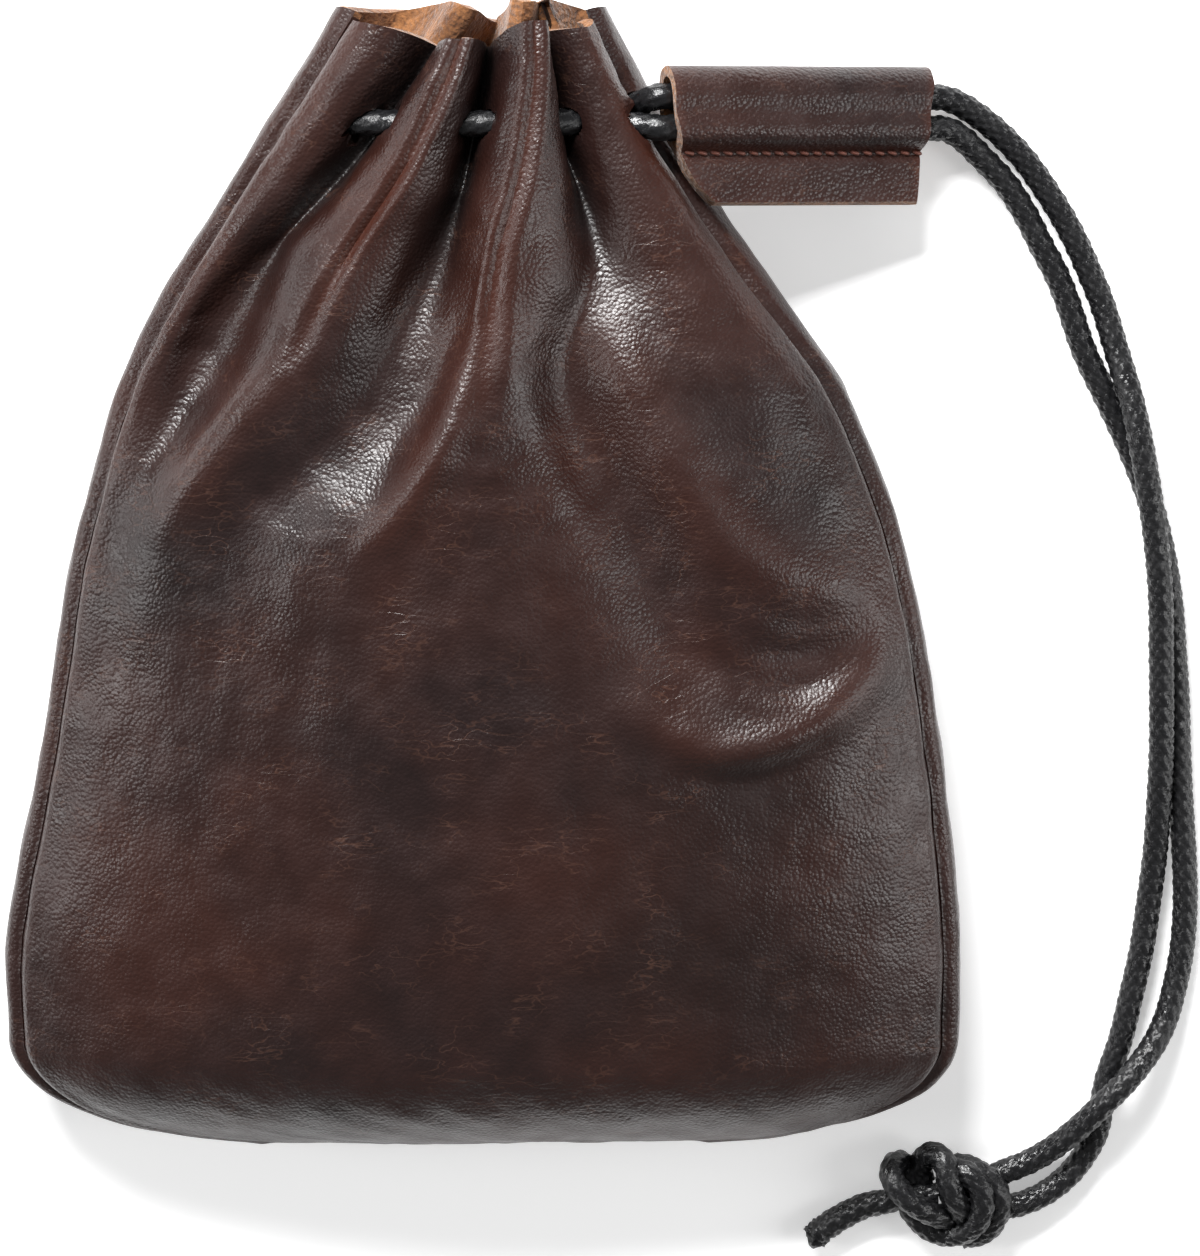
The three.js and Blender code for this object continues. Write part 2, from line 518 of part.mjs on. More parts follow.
// The knot: a core with one thick turn over it, and the fused tail
function knotGeometry() {
  const core = new THREE.SphereGeometry(0.5, 12, 8);
  core.scale(KNOT_LENGTH, KNOT_WIDTH * 0.8, KNOT_HEIGHT * 0.9);
  core.translate(...KNOT_CENTRE);
  const turn = new THREE.TorusGeometry(KNOT_WIDTH / 2 - CORD_DIAMETER / 2, CORD_DIAMETER / 2, 8, 16);
  turn.rotateX(Math.PI / 12);
  turn.rotateY(Math.PI / 9);
  turn.translate(KNOT_CENTRE[0] + CORD_DIAMETER * 0.3, KNOT_CENTRE[1], KNOT_CENTRE[2]);
  const tail = cordGeometry([KNOT_CENTRE, ...TAIL_ROUTE], CORD_DIAMETER, 8, 8);
  return geometryOf(solidOf(core).add(solidOf(turn)).add(solidOf(tail)));
}

const neckPoints = neckRoute();
const NECK_STEPS = 80;
const cordPath = cordCurve(neckPoints).getPoints(NECK_STEPS * 6);

const pouch = new THREE.Group();
function add(name, geometry, colour, roughness) {
  const material = new THREE.MeshStandardMaterial({ color: colour, roughness, metalness: 0 });
  const mesh = new THREE.Mesh(geometry, material);
  mesh.name = name;
  pouch.add(mesh);
}

const LEATHER = '#3a2523';
const CORD = '#1c1c1e';
add('front_panel', panelGeometry('front', cordPath), LEATHER, 0.45);
add('back_panel', panelGeometry('back', cordPath), LEATHER, 0.45);
add('cord_slide', slideGeometry(), LEATHER, 0.5);
add('neck_cord', cordGeometry(neckPoints, CORD_DIAMETER, 8, NECK_STEPS), CORD, 0.4);
add('cord_strand_outer', cordGeometry(OUTER_ROUTE, CORD_DIAMETER, 8, 34), CORD, 0.4);
add('cord_strand_inner', cordGeometry(INNER_ROUTE, CORD_DIAMETER, 8, 32), CORD, 0.4);
add('end_knot', knotGeometry(), CORD, 0.4);

export default pouch;
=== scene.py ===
"""A worn drawstring pouch of waxed pull-up leather, with its braided cord, stitched slide and knot."""
import logging
from dataclasses import dataclass, field
from enum import Enum

import bpy
import numpy as np
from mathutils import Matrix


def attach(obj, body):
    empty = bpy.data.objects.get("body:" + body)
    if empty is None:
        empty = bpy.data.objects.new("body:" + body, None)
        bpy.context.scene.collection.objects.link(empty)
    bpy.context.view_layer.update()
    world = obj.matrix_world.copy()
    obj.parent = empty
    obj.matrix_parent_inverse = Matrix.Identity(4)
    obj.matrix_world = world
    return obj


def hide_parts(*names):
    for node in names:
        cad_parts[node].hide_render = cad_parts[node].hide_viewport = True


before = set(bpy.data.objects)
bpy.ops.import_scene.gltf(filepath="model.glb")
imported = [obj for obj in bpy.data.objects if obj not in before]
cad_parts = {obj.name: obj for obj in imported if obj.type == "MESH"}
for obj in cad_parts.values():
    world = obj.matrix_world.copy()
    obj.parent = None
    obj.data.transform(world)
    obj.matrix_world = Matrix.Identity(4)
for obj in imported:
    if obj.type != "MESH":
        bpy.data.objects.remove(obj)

log = logging.getLogger("pouch")

MM = 0.001
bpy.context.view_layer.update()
Point = tuple[float, float, float]


def linear(colour: str) -> tuple[float, float, float, float]:
    """Turns an sRGB hex colour to linear light.

    Args:
        colour: six hex digits after a #.

    Returns:
        Red, green, blue and an alpha of 1.
    """
    parts = np.array([int(colour[k:k + 2], 16) for k in (1, 3, 5)]) / 255
    red, green, blue = np.where(parts <= 0.04045, parts / 12.92, ((parts + 0.055) / 1.055) ** 2.4)
    return float(red), float(green), float(blue), 1.0


def add_node(tree: bpy.types.NodeTree, kind: str, inputs: dict | None = None, **settings) -> bpy.types.Node:
    """Adds a shader node.

    Args:
        tree: the material's nodes.
        kind: the node's type name.
        inputs: values or sockets for its inputs, by name or number. A socket is linked.
        settings: the node's own properties.

    Returns:
        The node.
    """
    node = tree.nodes.new(kind)
    for name, value in settings.items():
        setattr(node, name, value)
    for key, value in (inputs or {}).items():
        if isinstance(value, bpy.types.NodeSocket):
            tree.links.new(value, node.inputs[key])
        else:
            node.inputs[key].default_value = value
    return node


def new_material(name: str) -> tuple[bpy.types.Material, bpy.types.NodeTree]:
    """Makes an empty node material.

    Args:
        name: what the finish really is.

    Returns:
        The material and its node tree.
    """
    material = bpy.data.materials.new(name)
    material.use_nodes = True
    material.node_tree.nodes.clear()
    return material, material.node_tree


def monotone(places: tuple, values: tuple, at: np.ndarray) -> np.ndarray:
    """A smooth curve through a table's rows that never passes the rows beside it.

    Each step is a cubic whose end slopes are the harmonic mean of the slopes on both sides, or 0 at a turn.

    Args:
        places: where the rows are.
        values: what they hold.
        at: where the curve is read.

    Returns:
        The curve's values.
    """
    x, y = np.asarray(places, float), np.asarray(values, float)
    slopes = np.diff(y) / np.diff(x)
    product, total = slopes[:-1] * slopes[1:], slopes[:-1] + slopes[1:]
    inner = np.where(product > 0, 2 * product / np.where(product > 0, total, 1), 0)
    tangents = np.concatenate([slopes[:1], inner, slopes[-1:]])
    at = np.clip(at, x[0], x[-1])
    i = np.clip(np.searchsorted(x, at) - 1, 0, len(x) - 2)
    step = x[i + 1] - x[i]
    t = (at - x[i]) / step
    rise = t * t * (3 - 2 * t)
    bend = step * t * (1 - t) * ((1 - t) * tangents[i] - t * tangents[i + 1])
    return y[i] * (1 - rise) + y[i + 1] * rise + bend


def unit(vectors: np.ndarray) -> np.ndarray:
    """Vectors cut to length 1, along the last axis."""
    return vectors / np.maximum(np.linalg.norm(vectors, axis=-1, keepdims=True), 1e-12)


def soft_noise(x: np.ndarray, y: np.ndarray, seed: int) -> np.ndarray:
    """Smooth random hills, between -1 and 1, with one hill or hollow to a unit of x and y.

    Random heights on whole numbers are blended between by a cubic ease.

    Args:
        x: first coordinates.
        y: second coordinates.
        seed: which hills.

    Returns:
        Heights in the shape of x.
    """
    table = np.random.default_rng(seed).uniform(-1, 1, (64, 64))
    column, row = np.floor(x).astype(int), np.floor(y).astype(int)
    s, t = x - column, y - row
    s, t = s * s * (3 - 2 * s), t * t * (3 - 2 * t)
    corner = [[table[(row + j) % 64, (column + i) % 64] for i in (0, 1)] for j in (0, 1)]
    upper = corner[0][0] * (1 - s) + corner[0][1] * s
    lower = corner[1][0] * (1 - s) + corner[1][1] * s
    return upper * (1 - t) + lower * t


def smooth_path(points: tuple | np.ndarray, spacing: float) -> np.ndarray:
    """The line through chosen points, a centripetal Catmull-Rom spline read at even steps.

    Each point is blended from its four neighbours over knots that are the square root of the distance apart.

    Args:
        points: two or three coordinates a point, in millimetres.
        spacing: the step along the line.

    Returns:
        The points along the line.
    """
    p = np.asarray(points, float)
    p = np.vstack([2 * p[0] - p[1], p, 2 * p[-1] - p[-2]])
    knots = np.concatenate([[0], np.cumsum(np.sqrt(np.linalg.norm(np.diff(p, axis=0), axis=1)))])
    at = np.linspace(knots[1], knots[-2], 40 * len(p))
    k = np.clip(np.searchsorted(knots, at, side="right") - 1, 1, len(p) - 3)

    def blend(a: np.ndarray, b: np.ndarray, start: np.ndarray, end: np.ndarray) -> np.ndarray:
        """The mix of two points between two knots."""
        share = ((at - start) / (end - start))[:, None]
        return a * (1 - share) + b * share

    k0, k1, k2, k3 = (knots[k + d] for d in (-1, 0, 1, 2))
    first = blend(p[k - 1], p[k], k0, k1)
    second = blend(p[k], p[k + 1], k1, k2)
    third = blend(p[k + 1], p[k + 2], k2, k3)
    line = blend(blend(first, second, k0, k2), blend(second, third, k1, k3), k1, k2)
    travelled = np.concatenate([[0], np.cumsum(np.linalg.norm(np.diff(line, axis=0), axis=1))])
    count = max(int(round(travelled[-1] / spacing)), 2)
    even = np.linspace(0, travelled[-1], count + 1)
    return np.stack([np.interp(even, travelled, line[:, d]) for d in range(p.shape[1])], axis=1)


def path_length(path: np.ndarray) -> float:
    """The length of a line of points."""
    return float(np.linalg.norm(np.diff(path, axis=0), axis=1).sum())


@dataclass(frozen=True)
class PullUpLeather:
    """Vegetable-tanned cowhide with a waxed pull-up finish: dark wax that parts to red-brown where it is bent.

    The eye sees a fine pebbled grain that glitters in the lights, hair-thin creases that are paler, and soft
    blotches of red-brown and of grey wax. The same near-black grey is painted into the deep valleys at the neck as
    shade.
    """

    name: str = "waxed_pull_up_cowhide"
    wax: str = "#1b0f0e"
    body: str = "#261412"
    warm: str = "#3d1d13"
    worn: str = "#6d4c3d"
    # near black: the thick grey wax of the patches, and also painted shade in the deep valleys at the neck
    grey: str = "#0f0a0a"
    roughness: float = 0.33
    grain_mm: float = 0.45
    grain_height: float = 0.075
    crease_height: float = 0.022

    def material(self) -> bpy.types.Material:
        """Builds the material: three noises mix the colours, and four reliefs add up to one bump."""
        material, tree = new_material(self.name)
        place = add_node(tree, "ShaderNodeTexCoord").outputs["Object"]
        blotch = add_node(tree, "ShaderNodeTexNoise", {"Vector": place, "Scale": 1 / 0.028, "Detail": 3.0})
        mottle = add_node(tree, "ShaderNodeTexNoise", {"Vector": place, "Scale": 1 / 0.0045, "Detail": 4.0})
        broad = add_node(tree, "ShaderNodeMapRange", {0: blotch.outputs[0], 1: 0.38, 2: 0.66})
        fine = add_node(tree, "ShaderNodeMapRange", {0: mottle.outputs[0], 1: 0.35, 2: 0.7, 4: 0.65})
        base = add_node(tree, "ShaderNodeMix", {
            0: fine.outputs[0], 6: linear(self.wax), 7: linear(self.body)}, data_type="RGBA")
        amber = add_node(tree, "ShaderNodeMath", {0: broad.outputs[0], 1: 0.42}, operation="MULTIPLY")
        warmed = add_node(tree, "ShaderNodeMix", {
            0: amber.outputs[0], 6: base.outputs[2], 7: linear(self.warm)}, data_type="RGBA")
        # the wax attribute darkens towards the near-black grey: real wax patches, plus painted shade in the neck
        # valleys
        wax_patches_and_painted_shade = add_node(tree, "ShaderNodeAttribute", attribute_name="wax")
        darkened_by_wax_and_painted_shade = add_node(tree, "ShaderNodeMix", {
            0: wax_patches_and_painted_shade.outputs["Fac"], 6: warmed.outputs[2], 7: linear(self.grey)}, data_type="RGBA")
        bent = add_node(tree, "ShaderNodeAttribute", attribute_name="bent")
        pulled = add_node(tree, "ShaderNodeMix", {
            0: bent.outputs["Fac"], 6: darkened_by_wax_and_painted_shade.outputs[2], 7: linear(self.warm)}, data_type="RGBA")

        web = None
        for turn, stretch in ((0.12, (130, 480, 300)), (-0.45, (210, 390, 300))):
            turned = add_node(tree, "ShaderNodeMapping", {
                "Vector": place, "Rotation": (0, 0, turn), "Scale": stretch})
            waves = add_node(tree, "ShaderNodeTexNoise", {
                "Vector": turned.outputs[0], "Scale": 1.0, "Detail": 2.0})
            off = add_node(tree, "ShaderNodeMath", {0: waves.outputs[0], 1: 0.5}, operation="SUBTRACT")
            away = add_node(tree, "ShaderNodeMath", {0: off.outputs[0]}, operation="ABSOLUTE")
            line = add_node(tree, "ShaderNodeMapRange", {0: away.outputs[0], 1: 0.0, 2: 0.014, 3: 1.0, 4: 0.0})
            web = line.outputs[0] if web is None else add_node(
                tree, "ShaderNodeMath", {0: web, 1: line.outputs[0]}, operation="MAXIMUM").outputs[0]
        gaps = add_node(tree, "ShaderNodeTexNoise", {"Vector": place, "Scale": 1 / 0.0065, "Detail": 3.0})
        patchy = add_node(tree, "ShaderNodeMapRange", {0: gaps.outputs[0], 1: 0.46, 2: 0.72})
        seen = add_node(tree, "ShaderNodeMath", {0: web, 1: patchy.outputs[0]}, operation="MULTIPLY").outputs[0]
        pale = add_node(tree, "ShaderNodeMath", {0: seen, 1: 0.28}, operation="MULTIPLY")
        colour = add_node(tree, "ShaderNodeMix", {
            0: pale.outputs[0], 6: pulled.outputs[2], 7: linear(self.worn)}, data_type="RGBA")

        pebble = add_node(tree, "ShaderNodeTexVoronoi", {
            "Vector": place, "Scale": 1 / (self.grain_mm * MM)}, feature="F1")
        pores = add_node(tree, "ShaderNodeTexNoise", {"Vector": place, "Scale": 1 / 0.00026, "Detail": 2.0})
        swell = add_node(tree, "ShaderNodeTexNoise", {"Vector": place, "Scale": 1 / 0.005, "Detail": 2.0})
        height = None
        for source, amount in (
            (pebble.outputs["Distance"], -self.grain_height),
            (pores.outputs[0], 0.03),
            (swell.outputs[0], 0.16),
            (seen, -self.crease_height),
        ):
            part = add_node(tree, "ShaderNodeMath", {0: source, 1: amount}, operation="MULTIPLY")
            height = part.outputs[0] if height is None else add_node(
                tree, "ShaderNodeMath", {0: height, 1: part.outputs[0]}, operation="ADD").outputs[0]
        bump = add_node(tree, "ShaderNodeBump", {"Height": height, "Distance": MM, "Strength": 0.85})
        rough = add_node(tree, "ShaderNodeMapRange", {
            0: mottle.outputs[0], 1: 0.3, 2: 0.7, 3: self.roughness - 0.05, 4: self.roughness + 0.09})
        shader = add_node(tree, "ShaderNodeBsdfPrincipled", {
            "Base Color": colour.outputs[2], "Roughness": rough.outputs[0], "IOR": 1.5,
            "Normal": bump.outputs[0]})
        add_node(tree, "ShaderNodeOutputMaterial", {"Surface": shader.outputs[0]})
        return material


@dataclass(frozen=True)
class FleshSide:
    """The suede flesh side and cut edge of the same hide: undyed tan fibre that scatters light, with no gloss."""

    name: str = "undyed_suede_flesh_side"
    light: str = "#96653c"
    dark: str = "#54331c"

    def material(self) -> bpy.types.Material:
        """Builds the material: nap noise mixes two tans and lifts the fibres."""
        material, tree = new_material(self.name)
        place = add_node(tree, "ShaderNodeTexCoord").outputs["Object"]
        nap = add_node(tree, "ShaderNodeTexNoise", {"Vector": place, "Scale": 1 / 0.0007, "Detail": 5.0})
        cloud = add_node(tree, "ShaderNodeTexNoise", {"Vector": place, "Scale": 1 / 0.005, "Detail": 2.0})
        both = add_node(tree, "ShaderNodeMath", {0: nap.outputs[0], 1: cloud.outputs[0]}, operation="MULTIPLY")
        share = add_node(tree, "ShaderNodeMapRange", {0: both.outputs[0], 1: 0.12, 2: 0.4})
        colour = add_node(tree, "ShaderNodeMix", {
            0: share.outputs[0], 6: linear(self.dark), 7: linear(self.light)}, data_type="RGBA")
        bump = add_node(tree, "ShaderNodeBump", {"Height": nap.outputs[0], "Distance": 0.0006, "Strength": 0.8})
        shader = add_node(tree, "ShaderNodeBsdfPrincipled", {
            "Base Color": colour.outputs[2], "Roughness": 0.95, "Sheen Weight": 0.25, "IOR": 1.4,
            "Normal": bump.outputs[0]})
        add_node(tree, "ShaderNodeOutputMaterial", {"Surface": shader.outputs[0]})
        return material


@dataclass(frozen=True)
class WaxedCotton:
    """Round cotton cord braided from eight strands and drawn through hot wax: near black, with wet-looking glints."""

    name: str = "waxed_braided_cotton_cord"
    yarn: str = "#0c0c0d"
    rubbed: str = "#2a2a2c"
    roughness: float = 0.22

    def material(self) -> bpy.types.Material:
        """Builds the material: the yarns' height, kept as an attribute, greys their backs, and fibres roughen them."""
        material, tree = new_material(self.name)
        place = add_node(tree, "ShaderNodeTexCoord").outputs["Object"]
        fibres = add_node(tree, "ShaderNodeTexNoise", {"Vector": place, "Scale": 1 / 0.00035, "Detail": 4.0})
        wax = add_node(tree, "ShaderNodeTexNoise", {"Vector": place, "Scale": 1 / 0.003, "Detail": 2.0})
        height = add_node(tree, "ShaderNodeAttribute", attribute_name="yarn_height")
        share = add_node(tree, "ShaderNodeMath", {0: height.outputs["Fac"], 1: fibres.outputs[0]},
                         operation="MULTIPLY")
        colour = add_node(tree, "ShaderNodeMix", {
            0: share.outputs[0], 6: linear(self.yarn), 7: linear(self.rubbed)}, data_type="RGBA")
        bump = add_node(tree, "ShaderNodeBump", {"Height": fibres.outputs[0], "Distance": 0.00012, "Strength": 0.8})
        rough = add_node(tree, "ShaderNodeMapRange", {
            0: wax.outputs[0], 1: 0.35, 2: 0.65, 3: self.roughness - 0.06, 4: self.roughness + 0.16})
        shader = add_node(tree, "ShaderNodeBsdfPrincipled", {
            "Base Color": colour.outputs[2], "Roughness": rough.outputs[0], "IOR": 1.45,
            "Normal": bump.outputs[0]})
        add_node(tree, "ShaderNodeOutputMaterial", {"Surface": shader.outputs[0]})
        return material


@dataclass(frozen=True)
class WaxedThread:
    """Waxed polyester sewing thread in copper red: small taut stitches with a soft shine."""

    name: str = "waxed_polyester_thread"
    colour: str = "#8a5546"

    def material(self) -> bpy.types.Material:
        """Builds the material: one colour with a twist-fine mottle."""
        material, tree = new_material(self.name)
        place = add_node(tree, "ShaderNodeTexCoord").outputs["Object"]
        twist = add_node(tree, "ShaderNodeTexNoise", {"Vector": place, "Scale": 1 / 0.0003, "Detail": 2.0})
        colour = add_node(tree, "ShaderNodeMix", {
            0: twist.outputs[0], 6: linear("#4d2620"), 7: linear(self.colour)}, data_type="RGBA")
        shader = add_node(tree, "ShaderNodeBsdfPrincipled", {
            "Base Color": colour.outputs[2], "Roughness": 0.5, "IOR": 1.5})
        add_node(tree, "ShaderNodeOutputMaterial", {"Surface": shader.outputs[0]})
        return material


@dataclass(frozen=True)
class PaperFloor:
    """Matt white background paper."""

    name: str = "matt_white_background_paper"
    colour: str = "#f7f7f7"

    def material(self) -> bpy.types.Material:
        """Builds the material: a plain matt white."""
        material, tree = new_material(self.name)
        shader = add_node(tree, "ShaderNodeBsdfPrincipled", {
            "Base Color": linear(self.colour), "Roughness": 0.9, "Specular IOR Level": 0.1,
            "Emission Color": linear(self.colour), "Emission Strength": 0.4})
        add_node(tree, "ShaderNodeOutputMaterial", {"Surface": shader.outputs[0]})
        return material


class Wardrobe:
    """All finishes of the object, each made once."""

    def __init__(self) -> None:
        """Makes the materials."""
        self.leather = PullUpLeather().material()
        self.slide_leather = PullUpLeather(
            name="waxed_pull_up_cowhide_pebbled", grain_mm=0.45, grain_height=0.10, roughness=0.34).material()
        self.suede = FleshSide().material()
        self.cord = WaxedCotton().material()
        self.thread = WaxedThread().material()


def make_object(
    name: str,
    points: np.ndarray,
    quads: np.ndarray,
    materials: list[bpy.types.Material],
    slots: np.ndarray | None = None,
    sharp_degrees: float = 50,
    **attributes: np.ndarray,
) -> bpy.types.Object:
    """Puts computed points and faces into a mesh object at the origin.

    Args:
        name: the piece's name.
        points: the vertices, in millimetres.
        quads: four vertex numbers a face.
        materials: the finishes it wears.
        slots: which finish each face has.
        sharp_degrees: edges that turn more than this keep a hard shade.
        attributes: one number a vertex, kept under its name.

    Returns:
        The object.
    """
    mesh = bpy.data.meshes.new(name)
    mesh.from_pydata(points.reshape(-1, 3) * MM, [], quads.tolist())
    for material in materials:
        mesh.materials.append(material)
    if slots is not None:
        mesh.polygons.foreach_set("material_index", slots.astype(np.int32))
    for label, values in attributes.items():
        layer = mesh.attributes.new(label, "FLOAT", "POINT")
        layer.data.foreach_set("value", values.astype(np.float32).ravel())
    mesh.update()
    mesh.shade_smooth()
    mesh.set_sharp_from_angle(angle=np.radians(sharp_degrees))
    piece = bpy.data.objects.new(name, mesh)
    bpy.context.scene.collection.objects.link(piece)
    return piece


def sheet_faces(
    rows: int, columns: int, kept: np.ndarray, last_bare_row: int = 10 ** 6,
) -> tuple[np.ndarray, np.ndarray]:
    """The faces of a wall between two grids of the same size: the outer grid, the inner grid, then the cut edges.

    A cut edge stands wherever a kept cell has no kept cell beside it.

    Args:
        rows: rows of points.
        columns: columns of points.
        kept: which of the (rows - 1) x (columns - 1) cells are leather.
        last_bare_row: below this row the cut edges are dyed like the outer face.

    Returns:
        The quads, and the finish of each: 0 outer, 1 inner, 2 cut edge.
    """
    number = np.arange(rows * columns).reshape(rows, columns)
    shift = rows * columns
    a, b, c, d = number[:-1, :-1], number[1:, :-1], number[1:, 1:], number[:-1, 1:]
    outer = np.stack([a, b, c, d], axis=-1)[kept]
    inner = outer[:, ::-1] + shift
    padded = np.pad(kept, 1)
    walls = []
    for start, end, beside in (
        (a, d, padded[:-2, 1:-1]),
        (c, b, padded[2:, 1:-1]),
        (b, a, padded[1:-1, :-2]),
        (d, c, padded[1:-1, 2:]),
    ):
        open_side = kept & ~beside
        s, e = start[open_side], end[open_side]
        walls.append(np.stack([s, e, e + shift, s + shift], axis=-1))
    edges = np.concatenate(walls)
    slots = np.repeat([0, 1, 2], [len(outer), len(inner), len(edges)])
    slots[len(outer) + len(inner):][edges[:, 0] // columns % rows > last_bare_row] = 0
    return np.concatenate([outer, inner, edges]), slots


@dataclass
class BraidedCord:
    """A round cord braided from eight strands, as a tube with the strands in relief."""

    diameter: float = 3.0
    strands: int = 8
    pitch: float = 2.0
    relief: float = 0.34
    sides: int = 32
    spacing: float = 0.25

    def tube(
        self, name: str, path: np.ndarray, material: bpy.types.Material, reference: Point = (0, 0, 1),
        swell: np.ndarray | None = None, sides: int | None = None,
    ) -> bpy.types.Object:
        """Makes the tube.

        The surface is the path plus the radius round it. On its grid of angle and distance, two families of
        strands wind opposite ways, and from one lozenge to the next they take turns on top: there the height is
        the sine across the upper strand times a flatter sine along it.

        Args:
            name: the piece's name.
            path: the centreline, in millimetres, at even steps.
            material: its finish.
            reference: a direction that the path never follows.
            swell: the radius as a share of the plain one, for each step.
            sides: points round it.

        Returns:
            The object.
        """
        sides = sides or self.sides
        along = unit(np.gradient(path, axis=0))
        side = unit(np.cross(along, np.asarray(reference, float)))
        up = np.cross(side, along)
        angle = np.linspace(0, 2 * np.pi, sides, endpoint=False)
        travelled = np.concatenate([[0], np.cumsum(np.linalg.norm(np.diff(path, axis=0), axis=1))])
        turn = self.strands * angle[None, :] / (2 * np.pi)
        first, second = turn + travelled[:, None] / self.pitch, turn - travelled[:, None] / self.pitch
        over = (np.floor(first) + np.floor(second)) % 2 == 0
        p, q = np.sin(np.pi * (first % 1)), np.sin(np.pi * (second % 1))
        yarn = np.where(over, q ** 0.6 * (0.45 + 0.55 * p), p ** 0.6 * (0.45 + 0.55 * q))
        radius = self.diameter / 2 + self.relief * (yarn - 0.65)
        if swell is not None:
            radius = radius * swell[:, None]
        rings = path[:, None] + radius[..., None] * (
            np.cos(angle)[None, :, None] * side[:, None] + np.sin(angle)[None, :, None] * up[:, None])
        points = np.concatenate([rings.reshape(-1, 3), path[:1], path[-1:]])
        number = np.arange(len(path) * sides).reshape(-1, sides)
        after = np.roll(number, -1, axis=1)
        body = np.stack([number[:-1], number[1:], after[1:], after[:-1]], axis=-1).reshape(-1, 4)
        first_cap, last_cap = len(path) * sides, len(path) * sides + 1
        half = np.arange(0, sides, 2)
        near = np.stack([number[0][half], after[0][half], np.roll(number[0], -2)[half],
                         np.full(len(half), first_cap)], axis=-1)
        far = np.stack([np.roll(number[-1], -2)[half], after[-1][half], number[-1][half],
                        np.full(len(half), last_cap)], axis=-1)
        heights = np.concatenate([yarn.ravel(), [0, 0]])
        quads = np.concatenate([body, near, far])
        return make_object(name, points, quads, [material], sharp_degrees=80, yarn_height=heights)


class Side(Enum):
    """The pouch's two leather panels."""

    FRONT = "front"
    BACK = "back"


@dataclass(frozen=True)
class Crease:
    """A long soft ridge or trough in the belly, seen from the front.

    Attributes:
        route: its points, X and Y in millimetres.
        width: how far it reaches to each side.
        height: how high it stands. A trough's is negative.
    """

    route: tuple[tuple[float, float], ...]
    width: float
    height: float

    def relief(self, x: np.ndarray, y: np.ndarray) -> np.ndarray:
        """Its height at points: a bell across it that swells from nothing at its ends.

        Args:
            x: the points' X.
            y: the points' Y.

        Returns:
            The heights, in millimetres.
        """
        line = smooth_path(self.route, 2.0)
        start, step = line[:-1], np.diff(line, axis=0)
        length = (step ** 2).sum(axis=1)
        offset_x = x[..., None] - start[:, 0]
        offset_y = y[..., None] - start[:, 1]
        share = np.clip((offset_x * step[:, 0] + offset_y * step[:, 1]) / length, 0, 1)
        distance = (offset_x - share * step[:, 0]) ** 2 + (offset_y - share * step[:, 1]) ** 2
        nearest = distance.argmin(axis=-1)
        place = nearest + np.take_along_axis(share, nearest[..., None], -1)[..., 0]
        swell = np.sin(np.pi * np.clip(place / len(step), 0, 1)) ** 1.1
        return self.height * swell * np.exp(-distance.min(axis=-1) / self.width ** 2)


BELLY_CREASES = (
    Crease(((-0.7, 33.0), (-2.9, 22.5), (-4.6, 17.7), (-9.0, 10.4), (-12.6, 6.3), (-16.5, 3.6)), 2.4, 1.9),
    Crease(((-20.5, 31.7), (-24.2, 25.8), (-27.8, 22.4), (-32.4, 15.5), (-39.4, 5.5)), 3.0, 1.5),
    Crease(((-1.2, 46.8), (-4.8, 29.3), (-9.3, 20.9), (-16.2, 11.0)), 4.2, -2.6),
    Crease(((-24.6, 42.3), (-32.4, 26.8), (-38.5, 13.5)), 4.4, -2.4),
    Crease(((7.6, 38.0), (9.8, 27.4), (14.4, 16.5), (19.8, 4.5), (23.2, -7.0), (22.7, -15.6)), 4.2, -2.6),
    Crease(((17.6, -9.0), (21.4, -14.4), (27.2, -18.2), (38.1, -16.4), (46.3, -9.8), (50.7, -1.0)), 2.8, 1.7),
    Crease(((22.0, -2.0), (29.0, -8.0), (40.0, -8.0), (47.0, -2.0)), 4.5, -1.3),
    Crease(((11.5, 43.3), (18.1, 25.4), (25.1, 12.6), (33.2, 3.8), (43.8, -0.3), (51.7, -1.5)), 4.0, 1.7),
    Crease(((24.2, -6.0), (31.3, -12.6), (41.6, -11.8), (48.4, -5.0)), 1.1, 0.35),
    Crease(((26.0, -2.4), (33.3, -8.6), (42.6, -8.2), (48.9, -2.5)), 1.0, 0.3),
    Crease(((28.5, 1.3), (35.6, -4.8), (43.9, -4.4), (49.6, -0.5)), 0.9, 0.25),
    Crease(((20.0, -16.5), (25.5, -21.5), (35.5, -21.0), (43.0, -16.0)), 1.8, -0.5),
    Crease(((-4.0, 21.0), (1.5, 19.5), (6.5, 20.5)), 0.8, 0.2),
    Crease(((-5.5, 17.0), (0.5, 15.2), (7.5, 16.3)), 0.8, 0.22),
    Crease(((-8.0, 12.5), (-0.5, 10.6), (8.0, 12.0)), 0.9, 0.22),
    Crease(((-28.0, 10.0), (-22.0, 7.0), (-14.0, 7.5)), 1.0, 0.2),
    Crease(((-37.0, 33.0), (-33.0, 32.0), (-29.5, 33.0)), 0.7, -0.2),
    Crease(((-36.0, 29.0), (-32.5, 28.4), (-29.0, 29.5)), 0.7, -0.2),
)


